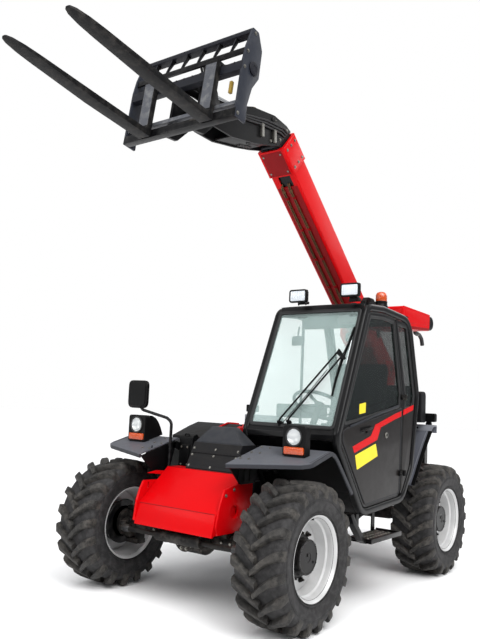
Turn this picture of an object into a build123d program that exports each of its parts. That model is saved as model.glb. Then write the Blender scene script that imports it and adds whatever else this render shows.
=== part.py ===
from build123d import *
import os
from math import cos, sin, radians, pi, sqrt, atan2

os.makedirs("parts", exist_ok=True)

# ---------------------------------------------------------------- driving dimensions (mm, degrees)
# Frame: -Y is the front of the machine, +X its left (cab) side, +Z up, ground at z = 0.
# Everything is laid out with the front axle at y = 0; SHIFT_Y then moves the whole machine so that
# the middle of its box stands over the origin.
SHIFT_Y = -776.5

WHEELBASE = 2100.0
TRACK_HALF = 765.0          # wheel centre to machine centre
TYRE_R = 440.0
TYRE_W = 340.0
RIM_R = 250.0               # rim flange radius of an 18 inch wheel
RIM_W = 308.0
KINGPIN_X = 600.0
AXLE_Z = TYRE_R
STEER_ARM = 175.0           # kingpin to tie rod, fore and aft

RAIL_X = (230.0, 300.0)     # chassis rails, each side
RAIL_Z = (520.0, 700.0)

BOOM_X = -50.0              # boom centre plane, right of the cab
BOOM_Y, BOOM_Z = 2700.0, 1710.0     # boom pivot
BOOM_DEG = 40.8             # boom elevation as it stands
BOOM_W, BOOM_H, BOOM_T = 224.0, 222.0, 8.0
BOOM_N0 = -66.0             # underside of the tube, measured from the pivot
BOOM_S0, BOOM_S1 = -150.0, 2545.0   # tube ends along the boom
INNER_GAP = 6.0
HEAD_S = 2560.0             # start of the boom head
TILT_S, TILT_N = 3160.0, -620.0     # carriage pivot, in boom coordinates
CRANK_R, CRANK_DEG = 180.0, 63.0    # tilt cylinder eye about the carriage pivot, boom coordinates
TILT_A = (2745.0, 5.0)     # tilt cylinder base, boom coordinates
LIFT_BARREL, LIFT_ROD = 822.0, 780.0    # barrel length from its pin, rod length from its eye
TILT_BARREL, TILT_ROD = 405.0, 475.0
LIFT_BASE = (1700.0, 735.0)         # lift cylinder base pin y, z
LIFT_EYE = (560.0, -130.0)          # lift cylinder rod eye, boom coordinates

FORK_DEG = 8.8              # tine rise as it stands
HEEL = (-380.0, 3105.0)     # fork heel, outer corner y, z
FORK_L, FORK_T, FORK_W = 1160.0, 40.0, 100.0
FORK_X = (225.0, -325.0)    # tine centres
CARR_X = (-550.0, 450.0)    # carriage side faces

CAB_X = (117.0, 870.0)      # cab base, right and left faces

# ---------------------------------------------------------------- helpers
def box(x0, x1, y0, y1, z0, z1):
    return Pos((x0 + x1) / 2, (y0 + y1) / 2, (z0 + z1) / 2) * Box(abs(x1 - x0), abs(y1 - y0), abs(z1 - z0))

def prism(pts, a0, a1, plane):
    """Outline in a plane's own coordinates, drawn out between offsets a0 and a1 along its normal."""
    lo, hi = min(a0, a1), max(a0, a1)
    return plane * (Pos(0, 0, lo) * extrude(Polygon(*pts, align=None), amount=hi - lo, dir=(0, 0, 1)))

SIDE = Plane(origin=(0, 0, 0), x_dir=(0, 1, 0), z_dir=(1, 0, 0))      # outline in (y, z), depth along x
FRONT = Plane(origin=(0, 0, 0), x_dir=(1, 0, 0), z_dir=(0, -1, 0))    # outline in (x, z), depth along -y
TOP = Plane.XY                                                        # outline in (x, y), depth along z

def side(pts, x0, x1):
    return prism(pts, x0, x1, SIDE)

def side_r(pts, r, x0, x1):
    """As side(), with every corner of the outline rounded."""
    face = Polygon(*pts, align=None)
    face = fillet(face.vertices(), r)
    lo, hi = min(x0, x1), max(x0, x1)
    return SIDE * (Pos(0, 0, lo) * extrude(face, amount=hi - lo, dir=(0, 0, 1)))

def cylx(y, z, r, x0, x1):
    return Pos((x0 + x1) / 2, y, z) * (Rot(0, 90, 0) * Cylinder(r, abs(x1 - x0)))

def rod(p, q, r, r2=None):
    p, q = Vector(*p), Vector(*q)
    d = q - p
    pl = Plane(origin=p, z_dir=d)
    if r2 is None:
        return pl * (Pos(0, 0, d.length / 2) * Cylinder(r, d.length))
    return pl * (Pos(0, 0, d.length / 2) * Cone(r, r2, d.length))

def pipe(pts, radii, r):
    """Round tube along straight runs joined by tangent arcs."""
    path = FilletPolyline(*pts, radius=radii)
    pl = Plane(origin=path @ 0, z_dir=path % 0)
    return sweep(pl * Circle(r), path=path)

def mirrored(shape):
    return mirror(shape, about=Plane.YZ)

c_, s_ = cos(radians(BOOM_DEG)), sin(radians(BOOM_DEG))
BOOM = Plane(origin=(BOOM_X, BOOM_Y, BOOM_Z), x_dir=(0, -c_, s_), z_dir=(-1, 0, 0))   # (s, n), depth to the right
cf, sf = cos(radians(FORK_DEG)), sin(radians(FORK_DEG))
CARR = Plane(origin=(BOOM_X, HEEL[0], HEEL[1]), x_dir=(0, -cf, sf), z_dir=(-1, 0, 0))  # (forward, up)

def boomp(pts, w0, w1):
    return prism(pts, w0, w1, BOOM)

def bbox_(s0, s1, n0, n1, w0, w1):
    return boomp([(s0, n0), (s1, n0), (s1, n1), (s0, n1)], w0, w1)

def bcyl(s, n, r, w0, w1):
    return BOOM * (Pos(s, n, (w0 + w1) / 2) * Cylinder(r, abs(w1 - w0)))

def carp(pts, w0, w1):
    return prism(pts, w0, w1, CARR)

def cbox(f0, f1, u0, u1, w0, w1):
    return carp([(f0, u0), (f1, u0), (f1, u1), (f0, u1)], w0, w1)

def boom_yz(s, n):
    return (BOOM_Y - c_ * s + s_ * n, BOOM_Z + s_ * s + c_ * n)

def carr_fu(y, z):
    dy, dz = y - HEEL[0], z - HEEL[1]
    return (-cf * dy + sf * dz, sf * dy + cf * dz)

count = 0
def save(name, shape):
    global count
    if isinstance(shape, (list, tuple)):
        out = Compound(children=[s for part in shape for s in part.solids()])
    else:
        sol = shape.solids()
        out = sol[0] if len(sol) == 1 else Compound(children=list(sol))
    out = out.moved(Location((0, SHIFT_Y, 0)))
    export_step(out, "parts/%s.step" % name)
    count += 1

# ================================================================= chassis
rails = []
for sx in (-1, 1):
    r = side([(-95, 520), (2720, 520), (2720, 700), (-70, 700), (-95, 660)], sx * RAIL_X[0], sx * RAIL_X[1])
    rails.append(r)
cross = [box(-230, 230, y0, y1, z0, z1) for (y0, y1, z0, z1) in (
    (-95, -75, 570, 655), (210, 270, 560, 700), (1240, 1300, 560, 620), (1760, 1830, 560, 700), (2400, 2470, 560, 700), (2690, 2720, 540, 700))]
belly = box(-230, 230, 270, 1760, 575, 590)
lug_pts = [(LIFT_BASE[0] - 110, 590), (LIFT_BASE[0] + 110, 590), (LIFT_BASE[0] + 50, LIFT_BASE[1] + 45), (LIFT_BASE[0] - 50, LIFT_BASE[1] + 45)]
lugs = [side(lug_pts, BOOM_X + a, BOOM_X + b) for a, b in ((64, 84), (-84, -64))]
liftpin = cylx(LIFT_BASE[0], LIFT_BASE[1], 25, BOOM_X - 96, BOOM_X + 96)
outrig = [box(300, 640, 760, 830, 540, 596), box(300, 640, 1220, 1290, 540, 596),
          box(-700, -300, 620, 690, 540, 596), box(-700, -300, 1400, 1470, 540, 596)]
frame = rails[0]
for p in [rails[1]] + cross + [belly] + lugs + [liftpin] + outrig:
    frame = frame + p
save("chassis_frame", frame)

# nose: folded plate shell open below, side plates with lightening holes
NOSE_X = 331.0
nose_out = [(-258, 509), (-225, 636), (40, 862), (150, 862), (150, 509)]
nose_in = [(-240, 400), (-209, 630), (48, 848), (250, 848), (250, 400)]
nose = side(nose_out, -NOSE_X, NOSE_X) - side(nose_in, -NOSE_X + 14, NOSE_X - 14)
for y, z, r in ((-120, 600, 34), (20, 640, 46), (60, 770, 26)):
    nose = nose - cylx(y, z, r, -400, 400)
save("front_nose", nose)

# tower carrying the boom pivot
tower_pts = [(2130, 700), (2720, 700), (2800, 1150), (2820, 1720), (2760, 1800), (2650, 1800), (2560, 1700), (2330, 1120), (2130, 900)]
tw_in, tw_out = 127.0, 152.0
plates = [side(tower_pts, BOOM_X + a, BOOM_X + b) for a, b in ((tw_in, tw_out), (-tw_out, -tw_in))]
foot = [box(-300, 300, 2130, 2390, 700, 724), box(-300, 300, 2480, 2720, 700, 724)]
backp = side([(2560, 724), (2700, 724), (2770, 1150), (2740, 1150)], BOOM_X - tw_in, BOOM_X + tw_in)
tower = plates[0] + plates[1] + foot[0] + foot[1] + backp
for a in (1, -1):
    tower = tower + cylx(BOOM_Y, BOOM_Z, 62, BOOM_X + a * tw_out, BOOM_X + a * (tw_out + 16))
tower = tower + cylx(BOOM_Y, BOOM_Z, 32, BOOM_X - 168, BOOM_X + 168)
save("boom_tower", tower)

# axles, with the yokes that hold the kingpins
def axle(y0, arm_side):
    prof = [(0, 0), (0, 112), (95, 112), (150, 66), (400, 60), (505, 38), (505, 0)]
    half = revolve(Pos(0, y0, AXLE_Z) * (Plane.XY * Polygon(*prof, align=None)), Axis((0, y0, AXLE_Z), (1, 0, 0)))
    a = half + mirrored(half)
    a = a + Pos(0, y0 + arm_side * 60, AXLE_Z) * (Rot(90, 0, 0) * Cylinder(88, 130))
    for sx in (-1, 1):
        web = box(sx * 500, sx * 540, y0 - 24, y0 + 24, AXLE_Z - 128, AXLE_Z + 128)
        a = a + web
        for zc in (AXLE_Z + 114, AXLE_Z - 114):
            arm = box(sx * 510, sx * KINGPIN_X, y0 - 42, y0 + 42, zc - 14, zc + 14) + Pos(sx * KINGPIN_X, y0, zc) * Cylinder(42, 28)
            a = a + arm
            a = a - Pos(sx * KINGPIN_X, y0, zc) * Cylinder(22.06, 60)
        a = a + box(sx * RAIL_X[0], sx * RAIL_X[1], y0 - 70, y0 + 70, AXLE_Z + 30, RAIL_Z[0])
    # steering cylinder barrel carried on two brackets
    ys = y0 + arm_side * STEER_ARM
    for sx in (-1, 1):
        a = a + box(sx * 150, sx * 180, min(y0, ys - arm_side * 20), max(y0, ys - arm_side * 20), AXLE_Z - 30, AXLE_Z + 30)
    cyl = rod((-190, ys, AXLE_Z), (190, ys, AXLE_Z), 36) - rod((-200, ys, AXLE_Z), (200, ys, AXLE_Z), 16.06)
    a = a - rod((-190, ys, AXLE_Z), (190, ys, AXLE_Z), 20) + cyl
    return a

EYE_X = 515.0               # steering arm eye
AXLES = {"front": (0.0, -1), "rear": (WHEELBASE, 1)}   # y, side of the steering gear
for nm, (y0, arm_side) in AXLES.items():
    save(nm + "_axle", axle(y0, arm_side))
    ys = y0 + arm_side * STEER_ARM
    ro = rod((-495, ys, AXLE_Z), (495, ys, AXLE_Z), 16)
    for sx in (-1, 1):
        ro = ro + Pos(sx * EYE_X, ys, AXLE_Z) * Cylinder(28, 26)
    save(nm + "_steering_rod", ro)

# knuckles
def knuckle(sx, y0, arm_side):
    k = box(sx * 576, sx * 632, y0 - 45, y0 + 45, AXLE_Z - 92, AXLE_Z + 92)
    k = k + rod((sx * KINGPIN_X, y0, AXLE_Z - 128), (sx * KINGPIN_X, y0, AXLE_Z + 128), 22)
    k = k + rod((sx * 632, y0, AXLE_Z), (sx * 664, y0, AXLE_Z), 98)
    k = k + rod((sx * 664, y0, AXLE_Z), (sx * 790, y0, AXLE_Z), 45)
    # arm over the tie rod eye
    ya = y0 + arm_side * STEER_ARM
    y1 = y0 + arm_side * 36
    dx, dy = sx * (EYE_X - 600), ya - y1
    ll = sqrt(dx * dx + dy * dy)
    nx, ny = -dy / ll * 18, dx / ll * 18
    arm = prism([(sx * 600 + nx, y1 + ny), (sx * 600 - nx, y1 - ny), (sx * EYE_X - nx, ya - ny), (sx * EYE_X + nx, ya + ny)], AXLE_Z + 22, AXLE_Z + 46, TOP)
    arm = arm + Pos(sx * EYE_X, ya, AXLE_Z + 34) * Cylinder(26, 24)
    return k + arm

def rim(sx):
    w = RIM_W / 2
    # revolve profile in (axial offset from wheel centre, radius); outboard positive
    prof = [(-w, RIM_R), (-w, RIM_R - 12), (-w + 30, 222), (20, 205), (20, 105), (-70, 105), (-70, 45.06), (30, 45.06), (30, 0),
            (98, 0), (98, 70), (84, 92), (34, 104), (34, 150), (40, 205), (w - 30, 222), (w, RIM_R - 12), (w, RIM_R), (w - 14, RIM_R), (w - 18, 229), (-w + 18, 229), (-w + 14, RIM_R)]
    body = revolve(Polygon(*prof, align=None), Axis.X)
    if sx < 0:
        body = mirrored(body)
    return body

def tyre(sx):
    h = TYRE_W / 2
    prof = [(-136, 229.3), (-140, 262), (-165, 300), (-h, 350), (-166, 392), (-157, 425), (-150, TYRE_R), (150, TYRE_R), (157, 425), (166, 392), (h, 350), (165, 300), (140, 262), (136, 229.3)]
    return revolve(Polygon(*prof, align=None), Axis.X)

for nm, (y0, arm_side) in AXLES.items():
    for sd, sx in (("left", 1), ("right", -1)):
        save("%s_%s_knuckle" % (nm, sd), knuckle(sx, y0, arm_side))
        at = Pos(sx * TRACK_HALF, y0, AXLE_Z)
        save("%s_%s_rim" % (nm, sd), at * rim(sx))
        save("%s_%s_tyre" % (nm, sd), at * tyre(sx))

# ================================================================= engine side (right)
BAY_X = (-760.0, -310.0)
BAY_Y = (560.0, 1560.0)
bay = box(BAY_X[0], BAY_X[1], BAY_Y[0], BAY_Y[1], 596, 1010) - box(BAY_X[0] + 12, BAY_X[1] - 12, BAY_Y[0] + 12, BAY_Y[1] - 12, 608, 1100)
save("engine_bay", bay)
save("engine_block", box(-690, -350, 680, 1380, 640, 960))
# bonnet: shallow shell, higher along its inner edge
bon_out = [(BAY_X[0] - 8, 1016), (BAY_X[1] + 40, 1016), (BAY_X[1] + 40, 1130), (BAY_X[1] - 40, 1150), (BAY_X[0] + 90, 1095), (BAY_X[0] - 8, 1040)]
bon_in = [(BAY_X[0] + 6, 900), (BAY_X[1] + 26, 900), (BAY_X[1] + 26, 1118), (BAY_X[1] - 44, 1136), (BAY_X[0] + 94, 1082), (BAY_X[0] + 6, 1032)]
bonnet = prism(bon_out, -(BAY_Y[0] - 10), -(BAY_Y[1] + 10), FRONT) - prism(bon_in, -(BAY_Y[0] + 4), -(BAY_Y[1] - 4), FRONT)
for y0 in (640, 1400):
    bonnet = bonnet + box(-290, -262, y0, y0 + 60, 1016, 1024) + rod((-262, y0, 1010), (-262, y0 + 60, 1010), 14)
    bonnet = bonnet - rod((-262, y0 - 5, 1010), (-262, y0 + 65, 1010), 5)
save("bonnet", bonnet)

# ================================================================= cowls and wings
centre = side([(46, 864), (152, 864), (152, 702), (285, 702), (285, 1152), (228, 1154), (128, 1042), (92, 966)], -170, 250)
hump = side_r([(205, 806), (285, 806), (285, 1070), (262, 1090), (216, 1066)], 14, -390, -262)
centre = centre + side([(285, 702), (400, 702), (400, 1020), (330, 1125), (285, 1140)], -170, 105)
save("centre_cover", [centre, hump])

# wing: top sheet z = WING_Z + WING_SLOPE * y, then down behind the wheel; plan outline per side
WING_Z, WING_SLOPE, WING_T = 995.0, 0.27, 16.0
wing_top = [(-190, WING_Z - 190 * WING_SLOPE), (205, WING_Z + 205 * WING_SLOPE), (255, 1032), (305, 987), (400, 885), (494, 782)]
wing_low = [(486, 766), (392, 866), (298, 966), (248, 1012), (203, WING_Z + 203 * WING_SLOPE - WING_T), (-190, WING_Z - 190 * WING_SLOPE - WING_T)]
WINGS = (  # side, inner edge x, outer edge x
    (1, 352.0, 888.0), (-1, 398.0, 858.0))
wings = []
for sx, xi, xo in WINGS:
    plan = [(xi, -178), (xo - 52, -66), (xo - 14, -40), (xo, 10), (xo, 700), (xi, 700)]
    sheet = side(wing_top + wing_low, sx * xi, sx * xo)
    keep = prism([(sx * x, y) for x, y in (plan if sx > 0 else plan[::-1])], 600, 1200, TOP)
    web = side([(-160, 935), (-48, 824), (-30, 808), (130, 808), (196, 1024), (150, 1018)], sx * xi, sx * (xi + 12))
    skirt = side([(160, 1016), (196, 1026), (250, 1010), (299, 964), (388, 868), (370, 850), (286, 940), (150, 985)], sx * xi, sx * (xi + 12))
    wings += [(sheet & keep) + web + skirt]
save("front_fenders", wings)

# rear wing: upright front wall widening upwards, a shelf on top and an inner panel round the wheel
rear_wings = []
for sx in (1, -1):
    edge = [(sx * x, z) for x, z in ((560, 740), (836, 740), (853, 823), (861, 870), (893, 1045), (916, 1141), (935, 1213), (560, 1213))]
    wall = side([(1600, 760), (1614, 760), (1756, 1213), (1742, 1213)], sx * 550, sx * 950) & prism(edge[::sx], -1500, -1900, FRONT)
    shelf = box(sx * 560, sx * 935, 1744, 1800, 1199, 1213)
    lip = box(sx * 560, sx * 935, 1788, 1800, 1150, 1205)
    panel = side([(1606, 760), (1748, 1205), (2300, 1190), (2500, 1080), (2570, 900), (2560, 760)], sx * 560, sx * 572)
    panel = panel - cylx(WHEELBASE, AXLE_Z, 505, sx * 540, sx * 600)
    rear_wings += [wall + shelf + lip + panel]
save("rear_fenders", rear_wings)

# headlamp housings on the wings
lamps = []
for sx, xi, xo in ((1, 624, 792), (-1, 576, 744)):
    body = side([(38, WING_Z + 12), (98, WING_Z + 28.5), (98, 1202), (38, 1202)], sx * xi, sx * xo)
    lens = Pos(sx * (xi + xo) / 2, 32, 1132) * (Rot(90, 0, 0) * Cylinder(54, 12))
    amber = box(sx * (xi + 12), sx * (xo - 12), 30, 38, 1024, 1070)
    cheek_l = side([(98, 1024), (98, 1200), (150, 1186), (200, 1130), (232, 1064), (233, 1060)], sx * xi, sx * (xi + 14))
    lamps += [body + lens + amber + cheek_l]
save("headlamps", lamps)

# mirror on a bent tube
MY = 78.0
tube = pipe([(-356, MY, 792), (-352, MY, 1166), (-400, MY, 1194), (-645, MY, 1240)], [40, 40], 11)
foot = box(-372, -333, 50, 106, 780, 792)
glassbox = Pos(-700, MY, 1354) * Box(196, 34, 206)
stem = rod((-640, MY, 1239), (-668, MY, 1262), 11)
save("mirror", tube + stem + glassbox + foot)

# ================================================================= cab
T = 40.0
XR, XL = CAB_X
RAIL_TOP = 706.0                 # the cab sits over the left rail
# side outlines (y, z) of the cab's outer face and of the opening inside its posts
cab_out = [(298, 1149), (666, 2044), (931, 2060), (1413, 2030), (1595, 1443), (1500, 885), (1329, 646), (656, 604), (300, 1075)]
cab_in = [(345, 1152), (702, 2000), (935, 2014), (1372, 1988), (1541, 1440), (1448, 895), (1300, 690), (684, 652), (348, 1088)]

cab_frame = side_r(cab_out, 26, XR, XL) - side_r(cab_in, 18, XR + T, XL - T)
cab_frame = cab_frame - side_r(cab_in, 40, XL - T - 5, XL + 5) - side_r(cab_in, 40, XR - 5, XR + T + 5)
# openings: windscreen, rear window, roof
cab_frame = cab_frame - side([(250, 1191), (430, 1191), (770, 2000), (580, 2000)], XR + 50, XL - 50)
cab_frame = cab_frame - side([(1660, 1500), (1490, 1500), (1330, 1985), (1490, 1985)], XR + 50, XL - 50)
cab_frame = cab_frame - side([(740, 1990), (1330, 1970), (1330, 2120), (740, 2120)], XR + T, XL - T)
# the floor steps up over the chassis rail
cab_frame = cab_frame - box(0, RAIL_X[1] + 10, 200, 1700, 500, RAIL_TOP)
cab_frame = cab_frame + side([(580, RAIL_TOP), (1365, RAIL_TOP), (1372, RAIL_TOP + 12), (571, RAIL_TOP + 12)], XR, RAIL_X[1] + 22)
cab_frame = cab_frame + side([(655, 622), (1320, 652), (1368, RAIL_TOP + 6), (590, RAIL_TOP + 6)], RAIL_X[1] + 10, RAIL_X[1] + 22)
save("cab_frame", cab_frame)

right_panel = side([(356, 1150), (356, 1096), (640, RAIL_TOP + 20), (1318, RAIL_TOP + 20), (1440, 900), (1482, 1150)], XR + 8, XR + 30)
save("cab_right_panel", right_panel)

roof = side([(704, 2047.4), (931, 2061.2), (1392, 2032.5), (1392, 2048), (1180, 2070), (931, 2078), (704, 2062)], XR + 14, XL - 14)
save("cab_roof", roof)

# glass sheets, 6 mm
ws_a, ws_b = (326, 1194), (657, 1998)
windscreen = side([ws_a, (ws_a[0] + 6, ws_a[1]), (ws_b[0] + 6, ws_b[1]), ws_b], XR + 53, XL - 53)
rg_a, rg_b = (1567, 1503), (1418, 1982)
rear_glass = side([rg_a, (rg_a[0] - 6, rg_a[1]), (rg_b[0] - 6, rg_b[1]), rg_b], XR + 53, XL - 53)
right_glass = side_r([(356, 1158), (708, 1992), (937, 2006), (1364, 1982), (1532, 1440), (1483, 1158)], 34, XR + 14, XR + 20)
save("cab_glass", [windscreen, rear_glass, right_glass])

# door on the left side, hung on its rear edge
door_outer = [(352, 1156), (706, 1995), (937, 2007), (1130, 1996), (1290, 1440), (1262, 696), (690, 660), (355, 1094)]
door_win = [(398, 1225), (730, 1955), (935, 1968), (1100, 1956), (1238, 1440), (1228, 1350), (560, 1245)]
door = side_r(door_outer, 36, XL - 34, XL - 2) - side_r(door_win, 18, XL - 60, XL + 20)
HINGE_X, HINGE_Y = XL + 14, 1300.0
for z0, ya in ((838, 1240), (1396, 1262)):
    door = door + box(XL - 4, XL + 12, ya, HINGE_Y, z0, z0 + 44)
    door = door + Pos(HINGE_X, HINGE_Y, z0 + 22) * Cylinder(12, 44)
    door = door - Pos(HINGE_X, HINGE_Y, z0 + 22) * Cylinder(5, 60)
save("door_panel", door)
door_glass = side_r([(402, 1228), (732, 1952), (935, 1965), (1098, 1953), (1235, 1440), (1226, 1353), (560, 1248)], 16, XL - 22, XL - 16)
save("door_glass", door_glass)
# fixed quarter panel and window behind the door
q_outer = [(1139, 1994), (1350, 1982), (1366, 1968), (1532, 1440), (1441, 902), (1300, 712), (1272, 704), (1297, 1440)]
q_win = [(1178, 1957), (1338, 1946), (1492, 1440), (1480, 1350), (1340, 1340), (1342, 1440)]
quarter = side(q_outer, XL - 34, XL - 8) - side_r(q_win, 8, XL - 60, XL + 20)
save("cab_quarter_panel", quarter)
q_glass = side_r([(1180, 1954), (1335, 1944), (1489, 1440), (1478, 1353), (1343, 1343), (1345, 1440)], 6, XL - 24, XL - 18)
save("cab_quarter_glass", q_glass)

# seat, console, wheel
CX = (XR + XL) / 2
cushion = side([(900, 1010), (1260, 990), (1270, 1100), (1230, 1112), (940, 1128), (890, 1090)], CX - 235, CX + 235)
back = side([(1272, 1105), (1368, 1135), (1418, 1640), (1385, 1700), (1325, 1690), (1262, 1180)], CX - 225, CX + 225)
seat_base = side([(960, 722), (1270, 722), (1262, 988), (935, 1006)], CX - 165, CX + 190) + side([(960, 669.6), (1270, 688.8), (1270, 722), (960, 722)], CX - 165, CX + 190)
save("seat", cushion + back)
save("seat_base", seat_base)
console = side([(352, 1095), (480, 925), (545, 925), (600, 1150), (585, 1190), (480, 1200), (352, 1140)], CX - 150, CX + 150)
save("dashboard", console)
hub = Vector(CX, 700, 1330)
wpl = Plane(origin=hub, x_dir=(1, 0, 0), z_dir=(0, 0.5, 0.866))
wheel = wpl * (Torus(190, 13) + Cylinder(38, 30) + Box(370, 26, 12) + Pos(0, -95, 0) * Box(26, 180, 12))
column = rod((CX, 606, 1180), tuple(hub), 24)
column = column - wpl * Cylinder(60, 33)
save("steering_wheel", wheel + column)

# step under the door
step = box(880, 925, 660, 1180, 395, 410) + box(700, 880, 660, 1180, 395, 410)
for y in (700, 1100):
    step = step + side([(y, 410), (y + 50, 410), (y + 50, 602), (y, 602)], 700, 712)
save("cab_step", step)

# roof equipment
wl = []
for x, zc in ((776, 2131), (356, 2110)):
    post = side([(630, 2052), (690, 2062.5), (690, 2084), (640, zc - 30), (628, zc - 30)], x - 38, x + 38)
    wl.append(Pos(x, 600, zc) * Box(146, 62, 96) + post)
save("work_lamps", wl)
save("beacon", Pos(752, 1120, 2079) * Cylinder(50, 46, align=(Align.CENTER, Align.CENTER, Align.MIN)) + Pos(752, 1120, 2125) * Cylinder(42, 75, align=(Align.CENTER, Align.CENTER, Align.MIN)))
wip = []
for x in (330, 400):
    wip.append(rod((x, 286, 1110), (x + 150, 290, 1180), 7) + rod((x + 150, 290, 1180), (x + 120, 610, 1960), 7))
save("wipers", wip)

save("roof_cowl", side([(1500, 1962), (2040, 2000), (2052, 2140), (1500, 2150)], 400, 760) + cylx(2080, 2070, 62, 420, 758))

# rear: counterweight, boxes, lamps, hitch
CW = [(2505, 732), (2724, 732), (2724, 560), (2900, 560), (2930, 700), (2930, 1080), (2840, 1150), (2505, 1150)]
cw = side(CW, -550, -230)
cw2 = side(CW, 130, 550)
cw_mid = side([(2824, 520), (2900, 560), (2930, 700), (2930, 1000), (2824, 1000)], -230, 130)
save("counterweight", [cw + cw_mid + cw2])
save("rear_boxes", [box(640, 872, 1628, 1722, 1230, 1476), box(-555, -300, 1700, 2200, 1206, 1330)])
tl = []
for sx in (1, -1):
    tl.append(box(sx * 812, sx * 935, 1752, 1804, 1236, 1306) + box(sx * 850, sx * 900, 1760, 1792, 1214, 1236))
save("tail_lamps", tl)
hitch = box(-60, 60, 2932, 2960, 560, 700)
for zc in (590, 670):
    hitch = hitch + box(-45, 45, 2960, 3030, zc - 12, zc + 12) + Pos(0, 3030, zc) * Cylinder(45, 24)
for zc in (590, 670):
    hitch = hitch - Pos(0, 3030, zc) * Cylinder(16, 40)
save("tow_hitch", hitch)

# ================================================================= boom
N0, N1 = BOOM_N0, BOOM_N0 + BOOM_H
HW = BOOM_W / 2
def bar(s0, s1, n0, n1, hw, r):
    face = Pos(0, (n0 + n1) / 2) * RectangleRounded(2 * hw, n1 - n0, r)
    return BOOM * (Pos(s0, 0, 0) * Rot(0, 90, 0) * extrude(face, amount=s1 - s0, dir=(0, 0, 1)))

outer = bar(BOOM_S0, BOOM_S1, N0, N1, HW, 22) + bar(BOOM_S1 - 235, BOOM_S1, N0 - 14, N1 + 14, HW + 14, 26)
outer = outer - bar(BOOM_S0 - 20, BOOM_S1 + 20, N0 + BOOM_T, N1 - BOOM_T, HW - BOOM_T, 14)
outer = outer - bbox_(2195, 2300, N0 - 30, N0 + 20, -70, 50)
outer = outer + bcyl(0, 0, 50, -HW - 10, HW + 10) - bcyl(0, 0, 32.06, -200, 200)
lug = [(LIFT_EYE[0] - 190, N0 + 2), (LIFT_EYE[0] - 70, LIFT_EYE[1] - 60), (LIFT_EYE[0] + 70, LIFT_EYE[1] - 60), (LIFT_EYE[0] + 190, N0 + 2)]
for a, b in ((64, 84), (-84, -64)):
    outer = outer + boomp(lug, a, b)
for a, b in ((84, 96), (-96, -84)):
    outer = outer + bcyl(LIFT_EYE[0], LIFT_EYE[1], 40, a, b)
save("boom_outer", outer)

ihw = HW - BOOM_T - INNER_GAP
in0, in1 = N0 + BOOM_T + INNER_GAP, N1 - BOOM_T - INNER_GAP
inner = bar(320, HEAD_S, in0, in1, ihw, 14) - bar(300, HEAD_S + 20, in0 + 8, in1 - 8, ihw - 8, 8)
save("boom_inner", inner)

# boom head: two cheeks joined by a ring at the tube, a crown plate and the pivot bosses
cheek = [(HEAD_S, in0 - 14), (HEAD_S, in1 + 14), (2625, in1 - 4), (2771, 44), (2966, -170), (3060, -330), (3190, -520), (3232, -610), (3215, -680), (3150, -708), (3080, -690), (2930, -590), (2740, -372), (2640, -215)]
head = boomp(cheek, 80, 100) + boomp(cheek, -100, -80)
fl = bbox_(HEAD_S, HEAD_S + 14, in0 - 14, in1 + 14, -100, 100) - bbox_(HEAD_S - 5, HEAD_S + 60, in0 + 8, in1 - 8, -80, 80)
crown = boomp([(HEAD_S + 14, in1), (2622, in1 - 18), (2700, in1 - 58), (2708, in1 - 46), (2625, in1 - 5), (HEAD_S + 14, in1 + 13)], -80, 80)
belly_plate = boomp([(2660, -228), (2750, -362), (2930, -575), (2940, -567), (2760, -354), (2670, -222)], -80, 80)
head = head + fl + crown + belly_plate
for a in (1, -1):
    head = head + bcyl(TILT_S, TILT_N, 54, a * 70, a * 104)
    head = head + bcyl(TILT_A[0], TILT_A[1], 34, a * 50, a * 112)
head = head + bcyl(TILT_A[0], TILT_A[1], 20, -60, 60)
head = head - bcyl(TILT_S, TILT_N, 26.06, -200, 200)
save("boom_head", head)

# ================================================================= carriage
PY, PZ = boom_yz(TILT_S, TILT_N)
PF, PU = carr_fu(PY, PZ)
wl_, wr_ = BOOM_X - CARR_X[1], BOOM_X - CARR_X[0]      # depths of the two side faces in carriage coordinates (left negative)
CARR_BARS = [  # front, back, bottom, top of each crosswise bar in carriage coordinates
    (-60, -6, 0, 60), (-60, -6, 330, 396), (-44, -26, 466, 506), (-124, -60, 636, 668)]
carr = None
for f0, f1, u0, u1 in CARR_BARS:
    bar = cbox(f0, f1, u0, u1, wl_, wr_)
    carr = bar if carr is None else carr + bar
sidep = [(-6, 0), (-6, 400), (-20, 510), (-60, 668), (-124, 668), (-180, 480), (-190, 380), (-110, 300), (-70, 0)]
for w0, w1 in ((wl_, wl_ + 16), (wr_ - 16, wr_)):
    carr = carr + carp(sidep, w0, w1)
SLATS = 7
for i in range(1, SLATS):
    w = wl_ + (wr_ - wl_) * i / SLATS
    carr = carr + carp([(-30, 470), (-44, 470), (-44, 506), (-106, 640), (-70, 640), (-30, 506)], w - 5, w + 5)
for w0, w1 in ((110, 134), (-134, -110)):
    ear = [(-58, 2), (-58, 390), (-120, 420), (PF - 50, PU + 45), (PF - 58, PU), (PF - 40, PU - 45), (-150, 20)]
    carr = carr + carp(ear, w0, w1)
carr = carr + CARR * (Pos(PF, PU, 0) * Cylinder(26, 268))
EY, EZ = boom_yz(TILT_S + CRANK_R * cos(radians(CRANK_DEG)), TILT_N + CRANK_R * sin(radians(CRANK_DEG)))
EF, EU = carr_fu(EY, EZ)
for w0, w1 in ((32, 50), (-50, -32)):
    lugc = [(-58, 332), (-58, 394), (-120, 430), (EF - 10, EU + 62), (EF - 62, EU), (EF - 10, EU - 62), (-120, 345)]
    carr = carr + carp(lugc, w0, w1)
save("carriage_frame", carr)
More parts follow.
